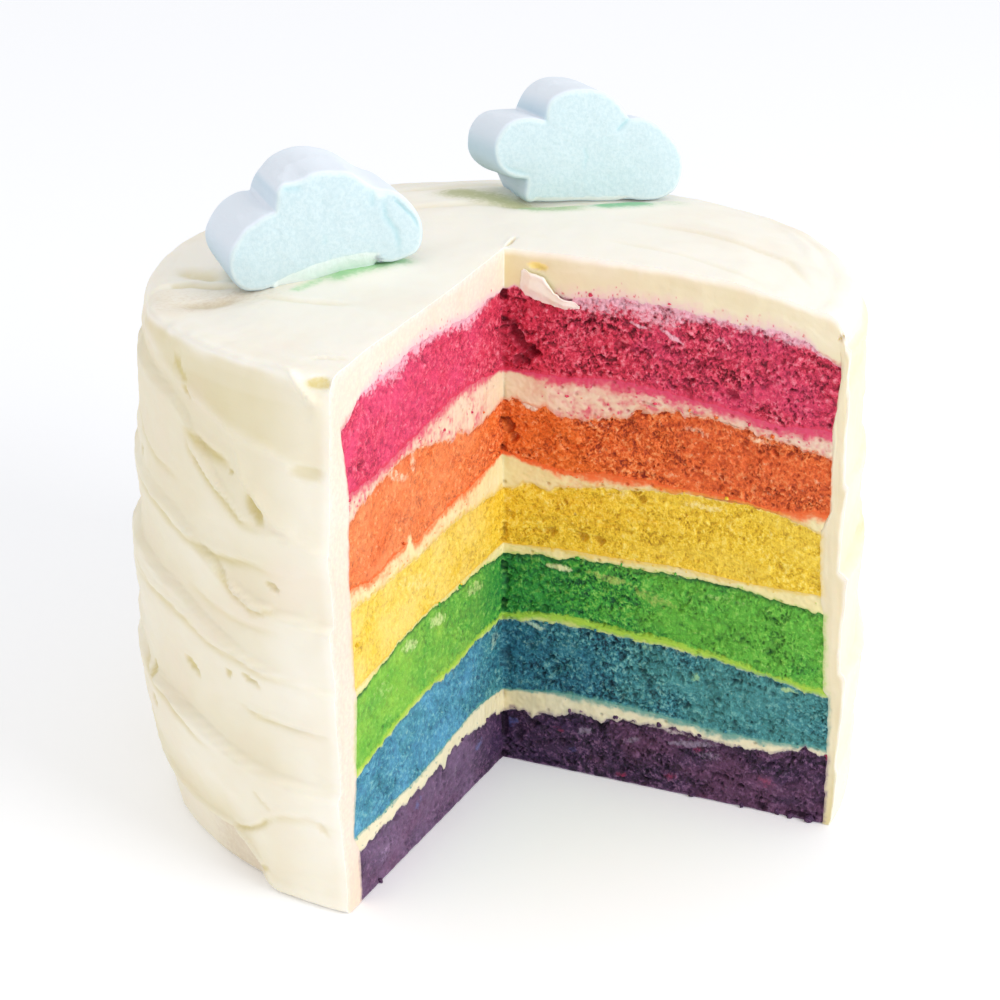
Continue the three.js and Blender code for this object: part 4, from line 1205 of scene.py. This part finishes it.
def stripStain(side, across, up, fromInside):
    # colour that the crumb left on the icing beside it, and its loose grains
    seed = 1500 + (0 if side == "left" else 60)
    blotches = layeredNoise(across / 3.5, up / 3.5, seed)
    fine = layeredNoise(across / 0.9, up / 0.8, seed + 3, 2)
    pink = sponges[-1]
    start, end, reach = pink["speckle"][side]
    rise = up - lineHeight(11, side, across)
    within = smoothStep(start - 6, start + 8, across) * (1 - smoothStep(end - 6, end + 4, across))
    reachHere = 0.7 + 0.75 * reach * within * (0.8 + 0.7 * blotches)
    smeared = np.clip(1 - (rise + 0.5 * fine) / reachHere, 0, 1) * (across < 99) * (rise > -2)
    amount = 0.62 * smeared
    colour = np.zeros(across.shape + (3,)) + np.array(linear(pink["smear"]))
    nearest, _, own = cells(across / 1.3 + 0.4 * fine, up / 1.1, seed + 7)
    grains = np.clip(1.4 - nearest / (0.2 + 0.25 * own), 0, 1) * (own < 0.32 * smeared)
    colour = np.where((grains > amount)[..., None], np.array(linear(pink["mid"])), colour)
    amount = np.maximum(amount, grains)
    reaches = {"purple": 1.6, "blue": 1.8, "green": 3.2, "yellow": 2.2, "orange": 1.6, "pink": 2.0}
    for sponge in sponges:
        low, high = sponge["floor"][side][-1], sponge["crown"][side][-1]
        beside = smoothStep(low - 1.5, low + 1, up) * (1 - smoothStep(high - 1, high + 1.5, up))
        reachHere = reaches[sponge["name"]] * (1 + 0.5 * blotches)
        near = 0.6 * beside * (1 - smoothStep(0, 1, (fromInside + 0.4 * fine) / reachHere)) * (across > 90)
        colour = np.where((near > amount)[..., None], np.array(linear(sponge["bleed"])), colour)
        amount = np.maximum(amount, near)
    return amount, colour


def buildCoat(material):
    shell = Shell()
    azimuths, radii, ups, hollow, stain, stainColour = coatOutside()
    shares = np.linspace(0, 1, coat["stripSteps"] + 1)[:-1]
    strips, lines = {}, {}
    for side, row in (("right", 0), ("left", -1)):
        innerAcross, innerUp, innerShares, outerAcross, outerUp, outerShares = stripLines(side, radii[row], ups[row])
        lines[side] = (innerShares, outerShares)
        across = mix(innerAcross[:, None], outerAcross[:, None], shares[None, :])
        up = mix(innerUp[:, None], outerUp[:, None], shares[None, :])
        seed = 1300 + (0 if side == "left" else 40)
        thickness = np.hypot(innerAcross - outerAcross, innerUp - outerUp)[:, None]
        fromInside = shares[None, :] * thickness
        drag = layeredNoise(100 * innerShares[:, None] / 13, fromInside / 1.3, seed)    # along the strip
        waves = layeredNoise(across / 8, up / 8, seed + 5)
        atEdge = np.clip(np.minimum(shares, 1 - shares) / 0.15, 0, 1)[None, :]
        depth = mix(borderDepth, 0.0, shares[None, :]) + (0.07 * drag + 0.25 * waves) * atEdge
        amount, colour = stripStain(side, across, up, fromInside)
        # painted khaki shade on the strip, fading to its outer edge, and more towards the bottom
        tone = stripTone[side] * (1 - smoothStep(0.76, 0.97, shares))[None, :] + 0.06 * waves + 0.05 * drag
        tone = tone + 0.3 * (1 - smoothStep(0, 26, up))
        if side == "right":
            # more khaki towards the inner corner
            tone = tone + 0.22 * (1 - smoothStep(4, 26, across))
        else:
            blush = (1 - amount) * stripBlush["amount"]
            both = amount + blush
            colour = amount[..., None] * colour + blush[..., None] * np.array(linear(stripBlush["colour"]))
            colour, amount = colour / both[..., None], both
        for mark in stripHollows[side]:
            bowl = np.clip(spot(across, up, mark[:5]), 0, 1)
            depth = depth + mark[5] * bowl
            # painted golden shade in the hollow
            painted = np.clip(1.3 * bowl, 0, 1) ** 0.7
            colour = np.where((painted > 0)[..., None], np.array(linear(mark[6])), colour)
            amount = np.where(painted > 0, painted, amount)
        strips[side] = (across, up, depth, {"stain": amount, "stainColour": colour, "hollow": np.clip(tone, 0, 1)})
    axisPlaces = np.stack([-strips["left"][2][0], strips["right"][2][0], strips["left"][1][0]], -1)
    axis = shell.addPoints(axisPlaces, hollow=0.15)
    summit = shell.addPoints(np.array([[0.0, 0.0, ups[0, 0]]]))
    borders, grids = {}, {}
    for side, row in (("right", 0), ("left", -1)):
        across, up, depth, values = strips[side]
        values = {key: value[1:] for key, value in values.items()}
        grid = np.vstack([axis[None, :], shell.addPoints(onFace(side, across[1:], up[1:], depth[1:]), **values)])
        grids[side] = grid
        shell.addGrid(grid, 0, flip=side == "left")
        edgePlaces = onFace(side, radii[row, 1:], ups[row, 1:], 0.0 * radii[row, 1:])
        edgeTone = np.minimum(hollow[row, 1:], stripTone["edge"])
        borders[side] = np.concatenate([summit, shell.addPoints(edgePlaces, hollow=edgeTone)])
        innerShares, outerShares = lines[side]
        if side == "left":
            shell.stitch(grid[:, -1], borders[side], innerShares, outerShares, 0)
        else:
            shell.stitch(borders[side], grid[:, -1], outerShares, innerShares, 0)
    middle = slice(1, -1)
    places = aroundAxis(radii[middle, 1:], azimuths[middle, None], ups[middle, 1:])
    outside = shell.addPoints(places, stainColour[middle, 1:], hollow=hollow[middle, 1:], stain=stain[middle, 1:])
    top = np.full((len(azimuths) - 2, 1), summit[0])
    outside = np.vstack([borders["right"][None, :], np.hstack([top, outside]), borders["left"][None, :]])
    shell.addGrid(outside, 1, flip=True)
    buildCoatInside(shell, axis, grids, lines, azimuths, outside)
    return shell.make("icing_coat", material, "icing", "icing_coat")


def buildCoatInside(shell, axis, grids, lines, azimuths, outside):
    # plain skin over the sponges, and the ring that the coat stands on
    rowShares = np.array([0, 0.001, 0.62, 0.91, 1.0, 1.17, 1.44, 1.72, 2.0])
    rows = [grids["right"][:, 0]]
    for azimuth in hiddenAzimuths:
        crown = [(across, plainHeight(11, azimuth, across) + 0.3) for across in (30.0, 60.0, 88.0)]
        heights = [142.6, 118.0, 80.0, 40.0, 0.0]
        wall = [(plainWall(azimuth, np.float64(height)) + 0.3, height) for height in heights]
        profile = np.array(crown + wall, float)
        row = shell.addPoints(aroundAxis(profile[:, 0], azimuth, profile[:, 1]))
        rows.append(np.concatenate([[axis[0]], row]))
    rows.append(grids["left"][:, 0])
    for position in range(len(rows) - 1):
        firstShares = lines["right"][0] if position == 0 else rowShares
        secondShares = lines["left"][0] if position == len(rows) - 2 else rowShares
        shell.stitch(rows[position], rows[position + 1], firstShares, secondShares, 2)
    innerFoot = np.array([row[-1] for row in rows])
    innerAzimuths = np.concatenate([[0], hiddenAzimuths, [leftTurn]]) - 7.5
    footRight, footLeft = grids["right"][-1], grids["left"][-1]
    outerFoot = np.concatenate([footRight, outside[:, -1], footLeft[::-1]])
    outerShares = np.concatenate([np.full(len(footRight), -1.0), azimuths, np.full(len(footLeft), 300.0)])
    shell.stitch(outerFoot, innerFoot, outerShares, innerAzimuths, 3)


# Hollows in the coat's cut strips: across, height, half sizes, turn, depth and the colour of the shade painted in them
stripHollows = {"right": [(10.6, 159.0, 2.8, 0.8, -4, 1.2, "#d9b42a"), (10.6, 159.6, 3.8, 1.5, -4, 0.3, "#f6e08a"),
                          (101.8, 150.8, 1.9, 0.5, 40, 0.5, "#d6c060")],
                "left": []}

# A flap of icing that the knife peeled on the right face, by the inner corner
flap = {
    "bottom": [(4.9, 152.4), (6.7, 150.5), (9.5, 149.7), (12.9, 148.9), (16.7, 148.2), (19.5, 147.8), (23.5, 148.6)],
    "top": [(5.5, 158.6), (8.2, 157.9), (11.3, 157.4), (12.8, 156.8), (14.5, 154.8), (16.4, 152.7), (18.2, 151.4),
            (21.3, 150.6), (23.5, 149.4)],
    "sunk": -0.1, "stand": 1.0, "thickness": 0.45, "steps": 60, "rows": 24,
}


def alongLine(points, shares):
    points = np.array(points, float)
    lengths = np.concatenate([[0], np.cumsum(np.hypot(*np.diff(points, axis=0).T))])
    return np.stack([np.interp(shares * lengths[-1], lengths, points[:, axis]) for axis in (0, 1)], -1)


def buildFlap(material):
    shell = Shell()
    shares = np.linspace(0, 1, flap["steps"] + 1)
    rise = np.linspace(0, 1, flap["rows"] + 1)
    low, high = alongLine(flap["bottom"], shares), alongLine(flap["top"], shares)
    face = mix(low[:, None, :], high[:, None, :], rise[None, :, None])
    across = face[..., 0] + 0.25 * layeredNoise(face[..., 1] / 1.5, face[..., 0] / 1.5, 1710)
    up = face[..., 1] + 0.3 * layeredNoise(face[..., 0] / 1.3, face[..., 1] / 1.3, 1720)
    # sunk into the cut face along its left and lower edges, proud of it along the upper right one
    freed = smoothStep(0, 0.45, rise)[None, :] * smoothStep(0, 0.2, shares)[:, None]
    freed = freed * (1 - smoothStep(0.75, 1, shares))[:, None]
    curl = np.exp(-((rise - 0.93) / 0.08) ** 2)[None, :]
    stand = mix(flap["sunk"], flap["stand"], freed) + 0.4 * curl * freed
    stand = stand + 0.1 * layeredNoise(across / 4, up / 4, 1700) * smoothStep(0, 0.2, rise)[None, :]
    smeared = 0.45 * (1 - smoothStep(0, 0.3, rise))[None, :] + 0.5 * smoothStep(0.55, 0.9, shares)[:, None]
    smeared = np.clip(smeared + 0.2 * layeredNoise(across / 1.1, up / 1.1, 1730, 2), 0, 1) + 0 * across
    # painted khaki shade, lighter on the curl as a painted highlight
    tone = 0.26 - 0.25 * curl + 0.12 * layeredNoise(across / 3, up / 3, 1740)
    front = shell.addPoints(onFace("right", across, up, -stand), linear(sponges[-1]["smear"]), hollow=np.clip(tone, 0, 1),
                            stain=0.6 * smeared)
    thin = flap["thickness"] * (1 - 0.5 * rise[None, :]) + 0.25
    # the underside is painted khaki as shade
    back = shell.addPoints(onFace("right", across, up - 0.1, thin - stand), hollow=0.4 + 0 * across)
    shell.addGrid(front, 0)
    shell.addGrid(back, 0, flip=True)
    rim = [np.concatenate([grid[:, 0], grid[-1, 1:], grid[-2::-1, -1], grid[0, -2::-1]]) for grid in (front, back)]
    shell.addGrid(np.stack(rim, 1), 0, flip=True)
    return shell.make("icing_flap", material, "icing")


# Loose crumbs: the sponge they come from, and where they lie as face, across, height and size
crumbSpots = {
    "pink": [("right", 20, 121.6, 0.5), ("right", 33, 120.9, 0.4),
             ("right", 47.4, 123.3, 0.5), ("right", 76, 121.4, 0.5), ("left", 40, 121.6, 0.5), ("left", 22, 120.9, 0.45),
             ("right", 27, 153.2, 0.5), ("right", 51, 153.6, 0.5), ("left", 97.4, 121.4, 0.6)],
    "orange": [("right", 58, 122.9, 0.6), ("right", 66, 121.9, 0.5), ("right", 83, 118.8, 0.5), ("left", 66, 97.0, 0.5),
               ("left", 14, 118.2, 0.5), ("right", 50, 97.4, 0.4)],
    "yellow": [("right", 57, 97.3, 0.5), ("right", 70, 97.9, 0.5), ("left", 94.9, 78.6, 0.5), ("left", 30, 70.4, 0.45)],
    "green": [("left", 30.8, 69.9, 0.7), ("left", 44.3, 69.8, 0.6), ("left", 13.5, 69.7, 0.6), ("right", 24, 71.2, 0.6),
              ("right", 38, 71.6, 0.5), ("right", 55, 71.6, 0.6)],
    "blue": [("right", 14, 48.2, 0.6), ("right", 30, 48.9, 0.6), ("right", 72, 23.8, 0.5), ("left", 20, 47.4, 0.6)],
    "purple": [("right", 22, 20.4, 0.8), ("right", 37, 21.4, 0.8), ("right", 51, 21.6, 0.7), ("right", 64, 20.9, 0.7),
               ("left", 30, 20.0, 0.7), ("left", 12, 18.4, 0.7), ("right", 96.6, 22.6, 0.8), ("right", 89, 0.5, 1.1),
               ("right", 93, 0.4, 0.9), ("right", 99, 0.6, 1.3), ("right", 78, 0.4, 0.9), ("right", 62, 0.4, 0.8),
               ("left", 84, 0.3, 0.7)],
}


def buildCrumbs(name, spots, material, slotName):
    shell = Shell()
    chance = np.random.default_rng(len(name) + 40)
    turns = np.linspace(0, 2 * math.pi, 13)
    tilts = np.linspace(-math.pi / 2, math.pi / 2, 8)
    for side, across, up, size in spots:
        ring, tilt = np.meshgrid(turns, tilts, indexing="ij")
        bumps = 1 + 0.5 * layeredNoise(2.2 * np.cos(ring) * np.cos(tilt) + across,
                                       2.2 * np.sin(ring) * np.cos(tilt) + 3 * np.sin(tilt), 1800, 2)
        bumps[-1] = bumps[0]
        bumps[:, 0], bumps[:, -1] = 1, 1
        stretch = 0.6 + 0.7 * chance.random(3)
        local = np.stack([np.cos(ring) * np.cos(tilt) * stretch[0], np.sin(ring) * np.cos(tilt) * stretch[1],
                          np.sin(tilt) * stretch[2]], -1) * (bumps * size)[..., None]
        seat = onFace(side, np.float64(across), np.float64(max(up, size * 0.5)), np.float64(0.25 * size))
        grid = shell.addPoints(local + seat, grain=0.5, tone=0.5)
        grid[-1] = grid[0]
        grid[:, 0], grid[:, -1] = grid[0, 0], grid[0, -1]
        shell.addGrid(grid, 0)
    return shell.make(name, material, slotName)


# Marshmallow clouds. at is the lower left front corner, turn is about Z, roll lifts the right end, lean
# tips it back. outline is the front's and back the back's, as along and up from that corner; a point given
# twice is sharp.
# bevel is the upper edge of the bevelled strip along the foot, which is painted pale as a highlight. pale are ovals
# painted pale as highlights. creases are lines with depth and half width, painted darker as shade.
clouds = [
    {"name": "marshmallow_cloud_left", "at": (-52.2, -57.2, 159.8), "turn": 45.0, "roll": 8.2, "lean": -3.0,
     "thickness": 25.4, "middle": (22, 11), "seed": 3,
     "outline": [(7.4, -0.6), (5.7, -0.9), (2.8, -0.6), (-0.2, 0.4), (-1.7, 1.8), (-3.1, 4.3), (-3.6, 7.0),
                 (-3.4, 9.5), (-2.2, 12.9), (0.1, 15.5), (3.0, 18.1), (5.6, 19.2), (8.9, 20.5), (11.7, 21.0),
                 (11.7, 21.0), (12.6, 24.2), (13.3, 27.0), (14.8, 28.3), (18.3, 28.1), (21.1, 28.4), (23.2, 29.1),
                 (25.9, 29.2), (31.1, 28.2), (34.7, 27.0), (36.9, 25.1), (38.9, 23.0), (40.9, 21.2), (42.9, 20.1),
                 (45.1, 19.3), (47.4, 18.0), (50.6, 14.2), (52.6, 10.2), (53.4, 6.7), (53.2, 3.8), (52.1, 0.6),
                 (50.6, -1.1), (47.1, -2.0), (43.2, -2.3), (39.7, -1.4),
                 (39.7, -1.4), (38.2, -3.5), (31.6, -3.6), (24.5, -3.3), (17.2, -3.5), (11.1, -3.1), (8.5, -1.9),
                 (7.4, -0.6)],
     "bevel": [(7.6, 0.9), (12.1, 2.0), (16.7, 3.0), (21.9, 3.7), (27.3, 3.9), (32.4, 3.6), (37.4, 2.8), (39.6, 2.0)],
     "back": [(6, -0.9), (2, -0.8), (-0.6, 0.6), (-2.4, 4), (-3.8, 8.8), (-3.5, 11.7), (-2.1, 14.3), (0.2, 17),
              (2.7, 19), (5, 20), (7.6, 20.6), (11.1, 20.2),
              (11.1, 20.2), (11.8, 21.9), (13.2, 24.1), (15.4, 26.1), (18.2, 28.4), (21.7, 29.6), (25.4, 29.9),
              (28.9, 29.3), (32.3, 28), (35.7, 26.2), (38.9, 23.5), (41.4, 20.9), (44, 18.8), (47, 17), (50.2, 13.6),
              (52.2, 10), (53, 6.5), (52.6, 3), (51.4, 0.4), (48.8, -1.2), (44, -2), (39, -2), (30, -2), (20, -2),
              (12, -1.8), (6, -0.9)],
     "pale": [(42.2, 19.2, 3.0, 2.4, -20)],
     "creases": [([(43.0, 18.2), (42.7, 12.2), (44.9, 7.7), (45.4, 4.2), (45.0, -0.2)], 0.5, 0.7),
                 ([(45.2, 17.8), (48.0, 13.7), (50.4, 10.5), (51.5, 8.2), (52.1, 5.0)], 0.6, 0.45),
                 ([(40.4, 20.6), (39.7, 17.2), (39.0, 15.6)], 0.35, 0.7),
                 ([(14.2, 26.9), (17.3, 26.6), (21.0, 25.7)], 0.35, 0.8), ([(24, 8.2), (25, 11.6)], 0.2, 0.7)]},
    {"name": "marshmallow_cloud_right", "at": (-15.2, 52.5, 162.8), "turn": 45.8, "roll": -4.6, "lean": 4.7,
     "thickness": 24.5, "middle": (19, 12.5), "seed": 8,
     "outline": [(-0.8, 6.4), (-4.8, 6.8), (-8.4, 8.6), (-11.1, 11.9), (-12.0, 16.5), (-9.8, 21.5), (-8.2, 23.2),
                 (-5.7, 24.6), (-2.4, 25.2), (1.4, 25.0), (4.3, 24.3),
                 (4.3, 24.3), (4.5, 27.7), (5.6, 30.3), (9.5, 32.7), (15.2, 33.7), (22.5, 33.0), (27.7, 30.3),
                 (30.8, 27.1), (32.8, 24.7),
                 (32.8, 24.7), (36.1, 25.0), (41.4, 23.2), (46.0, 19.8), (50.1, 15.1), (51.8, 10.3), (51.5, 6.2),
                 (49.8, 2.2), (45.9, -0.2), (39.3, -1.0), (33.7, -0.4),
                 (33.7, -0.4), (30.4, -1.2), (24.6, -1.3), (16.5, -0.9), (10.0, -1.1), (2.7, -0.8), (-0.8, -0.4),
                 (-1.3, 0.4), (-1.0, 3.5), (-0.8, 6.4)],
     "bevel": [(1.0, 1.0), (10.5, 0.8), (24.0, 0.7), (33.2, 0.8)], "pale": [],
     "back": [(4, -1.3), (1.8, -0.7), (-0.3, 2.1), (-1.9, 4.9),
              (-1.9, 4.9), (-5.2, 5.9), (-8.2, 7.6), (-10.5, 9.7), (-11.9, 12.4), (-12.1, 15.1), (-11.7, 18.5),
              (-10.6, 20.8), (-8.9, 22.8), (-6.4, 24.1), (-3.2, 24.6), (0.4, 24.8), (3.3, 24.9),
              (3.3, 24.9), (4.1, 26.7), (5.3, 29.1), (7, 31.4), (9.1, 33.1), (11.6, 34.3), (17, 34.8), (22.5, 33.8),
              (26, 31.6), (29, 28), (31.5, 23.6),
              (31.5, 23.6), (35.6, 23.8), (40.6, 21.8), (45, 18.4), (48.8, 14), (50.4, 9.8), (50, 6), (48.4, 2.2),
              (45, -0.2), (39, -1), (33, -1.2), (24, -1.2), (14, -1.2), (4, -1.3)],
     "creases": [([(33.2, 25.6), (30.9, 23.4), (27.6, 20.6)], 0.5, 0.6), ([(4.2, 25.4), (5.4, 22.8)], 0.2, 0.6),
                 ([(-9.5, 11.5), (-6.8, 9.6), (-2.5, 8.4), (1, 8.0)], 0.25, 0.6),
                 ([(17, 17), (18.5, 13), (17.5, 9)], 0.2, 0.8)]},
]
cloudShape = {"rounding": 1.5, "bevelDepth": 2.4, "bevelFoot": -2.0, "turns": 320, "pillow": 0.45, "innerSteps": 30,
              "bevelSoft": 2.5, "backTone": 0.7}


def smoothOutline(points):
    points = np.array(points, float)
    sharp = np.flatnonzero(np.hypot(*np.diff(points, axis=0).T) == 0) + 1
    curve = []
    for piece in np.split(points, sharp):
        lengths = np.concatenate([[0], np.cumsum(np.hypot(*np.diff(piece, axis=0).T))])
        places = np.arange(0, lengths[-1], 0.3)
        curve.append(np.stack([smoothAlong(lengths, piece[:, axis], places) for axis in (0, 1)], -1))
    return np.vstack(curve)


def reachAt(turns, points, middle):
    # how far an outline is from the middle at each turn
    curve = smoothOutline(points) - np.array(middle)
    return np.interp(turns, np.arctan2(curve[:, 1], curve[:, 0]), np.hypot(*curve.T), period=2 * math.pi)


def buildCloud(cloud, material):
    shell = Shell()
    middleX, middleZ = cloud["middle"]
    turns = np.linspace(0, 2 * math.pi, cloudShape["turns"], endpoint=False)[:, None]
    reach, backReach = (reachAt(turns, cloud[key], cloud["middle"]) for key in ("outline", "back"))
    edge = np.hstack([middleX + reach * np.cos(turns), middleZ + reach * np.sin(turns)])
    along = np.roll(edge, -2, axis=0) - np.roll(edge, 2, axis=0)
    facingUp = -along[:, :1] / np.hypot(*along.T)[:, None]
    thickness = cloud["thickness"]
    # steps from the edge inwards: fine over the rounding, then even to the middle
    edgeSteps = np.array([0, 0.06, 0.18, 0.36, 0.6, 0.9, 1.25, 1.65, 2.1, 2.7, 3.4])[None, :]
    inner = np.linspace(0, 1, cloudShape["innerSteps"] + 1)[None, 1:]
    inwards = np.hstack([edgeSteps + 0 * reach, mix(3.4 + 0 * reach, reach, inner)])[:, ::-1]
    faceX = middleX + (reach - inwards) * np.cos(turns)
    faceZ = middleZ + (reach - inwards) * np.sin(turns)
    field = distanceToLine(faceX, faceZ, np.vstack([edge, edge[:1]]))[0]
    rounding = cloudShape["rounding"]
    near = np.clip(field / rounding, 0, 1)
    edgeDrop = rounding * (1 - np.sqrt(np.clip(1 - (1 - near) ** 2, 0, 1)))
    pillow = cloudShape["pillow"] * smoothStep(0, 7, field)
    bevelX, bevelZ = np.array(cloud["bevel"]).T
    bevelTop = np.interp(faceX, bevelX, bevelZ, left=-9, right=-9) + 0.25 * layeredNoise(faceX / 3, 0.5, 7)
    bevel = np.clip((bevelTop - faceZ) / (bevelTop - cloudShape["bevelFoot"]), 0, 1) * (bevelTop > -2)
    bevel = bevel * smoothStep(bevelX[0], bevelX[0] + cloudShape["bevelSoft"], faceX)
    bevel = bevel * (1 - smoothStep(bevelX[-1] - 0.5, bevelX[-1], faceX))
    seed = cloud["seed"]
    fromMiddle = smoothStep(2, 9, reach - inwards)
    relief = 0.35 * layeredNoise(faceX / 7, faceZ / 7, seed)
    relief = relief + 0.13 * fromMiddle * layeredNoise(faceX / 1.3, faceZ / 1.3, seed + 4)
    relief = relief * smoothStep(0, 2, field)
    crease = np.zeros_like(faceX)
    for line, depth, width in cloud["creases"]:
        distance, _, along = distanceToLine(faceX, faceZ, line)
        feather = np.clip(np.minimum(along, 1 - along) / 0.25, 0, 1)
        crease = np.maximum(crease, depth * np.exp(-(distance / width) ** 2) * feather)
    frontY = edgeDrop - pillow + 0.5 - relief + crease + cloudShape["bevelDepth"] * bevel
    backY = thickness - edgeDrop + pillow - 0.5 - relief
    sideShares = np.linspace(0, 1, 27)[None, 1:-1]
    sideY = mix(frontY[:, -1:], backY[:, -1:], sideShares)
    dent = 0.4 * layeredNoise(sideY / 7, turns * reach / 6, seed + 9) * np.sin(math.pi * sideShares)
    sideX = middleX + (reach + dent) * np.cos(turns)
    sideZ = middleZ + (reach + dent) * np.sin(turns)
    x = np.hstack([faceX, sideX, faceX[:, ::-1]])
    z = np.hstack([faceZ, sideZ, faceZ[:, ::-1]])
    y = np.hstack([frontY, sideY, backY[:, ::-1]])
    widened = mix(1, backReach / reach, np.clip(y / thickness, 0, 1))
    x, z = mix(middleX, x, widened), mix(middleZ, z, widened)
    # the sides, the back and the front's outer edge take the side colours
    edgeRow = 1 - smoothStep(0.05, 0.5, near)
    flank = np.hstack([edgeRow, 1 + 0 * sideY, 1 + 0 * faceX])
    # painted highlight along the rounded front edge, on the foot strip and on the highlight spots
    paleRim = 0.5 * np.exp(-((field - 0.7) / 0.6) ** 2) + 1.2 * smoothStep(0, 0.1, bevel)
    for mark in cloud["pale"]:
        paleRim = np.maximum(paleRim, 0.7 * smoothStep(0, 1, spot(faceX, faceZ, mark)))
    haze = np.hstack([np.clip(paleRim, 0, 1), 0 * sideY, 0 * faceX])
    # painted shade in the creases
    creased = np.hstack([np.clip(crease * 1.2, 0, 1), 0 * sideY, 0 * faceX])
    local = np.stack([x, y, z], -1)
    spin = Euler((math.radians(-cloud["lean"]), math.radians(-cloud["roll"]), math.radians(cloud["turn"])), "XYZ")
    places = local @ np.array(spin.to_matrix()).T + np.array(cloud["at"])
    # painted shading: sides lighter where they face up and darker where they face down, the back's middle at backTone
    lit = smoothStep(-0.3, 0.8, facingUp)
    backTone = mix(lit, cloudShape["backTone"], smoothStep(0, 3, field))[:, ::-1]
    tone = np.hstack([lit + 0 * faceX, lit + 0 * sideY, backTone])
    grid = shell.addPoints(places[:, 1:-1], hollow=flank[:, 1:-1], pore=creased[:, 1:-1], haze=haze[:, 1:-1],
                           tone=tone[:, 1:-1])
    tips = shell.addPoints(places[:1, [0, -1]], hollow=flank[:1, [0, -1]], tone=tone[:1, [0, -1]])
    ring = np.vstack([grid, grid[:1]])
    shell.addGrid(ring, 0, flip=True)
    for tip, column, flip in ((tips[0, 0], ring[:, 0], True), (tips[0, 1], ring[:, -1], False)):
        fan = np.stack([np.full(len(column) - 1, tip), column[1:], column[:-1]], -1)
        shell.addTriangles(fan[:, ::-1] if flip else fan, 0)
    return shell.make(cloud["name"], material, "marshmallow", cloud["name"])


def marshmallowMaterial():
    material, tree, shader = newMaterial("marshmallow")
    powder = noiseNode(tree, 2600, 2.0, 0.7)
    mottle = noiseNode(tree, 900, 3.0, 0.65)
    broad = noiseNode(tree, 60, 2.0, 0.5)
    colour = mixColours(tree, rangeNode(tree, mottle, 0.38, 0.62, 0, 0.6), linear("#c5dae0"), linear("#d5e5e9"))
    colour = mixColours(tree, rangeNode(tree, broad, 0.45, 0.7, 0, 0.35), colour, linear("#c4d8de"))
    # painted highlight
    colour = mixColours(tree, sum2(tree, "MULTIPLY", paintedValue(tree, "haze"), 0.6), colour, linear("#f4fbf8"))
    # the sides' painted shading, from shaded to lit
    sides = mixColours(tree, paintedValue(tree, "tone"), linear("#c4dbe8"), linear("#e9f1fc"))
    colour = mixColours(tree, paintedValue(tree, "hollow"), colour, sides)
    # painted shade in the creases
    colour = mixColours(tree, sum2(tree, "MULTIPLY", paintedValue(tree, "pore"), 0.8), colour, linear("#a3d2da"))
    tree.links.new(colour, shader.inputs["Base Color"])
    tree.links.new(rangeNode(tree, powder, 0.3, 0.7, 0.82, 0.98), shader.inputs["Roughness"])
    shader.inputs["Specular IOR Level"].default_value = 0.15
    shader.inputs["Sheen Weight"].default_value = 0.1
    shader.inputs["Subsurface Weight"].default_value = 0.15
    shader.inputs["Subsurface Radius"].default_value = (0.8, 1.0, 1.0)
    shader.inputs["Subsurface Scale"].default_value = 0.003
    relief = sum2(tree, "ADD", powder, sum2(tree, "MULTIPLY", mottle, 0.8))
    tree.links.new(bumpNode(tree, relief, 0.35, 0.4), shader.inputs["Normal"])
    return material


# The making, in stages

addCamera()
addStudio()
print("camera and studio are set")

crumbMaterials = {}
for index, sponge in enumerate(sponges):
    node = "sponge_" + sponge["name"]
    crumbMaterials[sponge["name"]] = crumbMaterial(sponge)
    buildLayer(node, 2 * index, 2 * index + 1, sponge["upSteps"], spongeFace(sponge), crumbMaterials[sponge["name"]],
               sponge["name"] + "_sponge", node)
print("sponges are in")

for index, filling in enumerate(fillings):
    node = f"filling_{index + 1}"
    material = icingMaterial("buttercream_" + str(index + 1), filling["tint"])
    buildLayer(node, 2 * index + 1, 2 * index + 2, filling["upSteps"], fillingFace(index), material,
               "filling", node, gap=0.2)
print("fillings are in")

icing = icingMaterial("icing", icingColours["plain"])
buildCoat(icing)
buildFlap(icing)
print("icing coat is on")

for spongeName, spots in crumbSpots.items():
    buildCrumbs("crumbs_" + spongeName, spots, crumbMaterials[spongeName], spongeName + "_sponge")
print("crumbs are scattered")

marshmallow = marshmallowMaterial()
for cloud in clouds:
    buildCloud(cloud, marshmallow)
print("clouds are on")
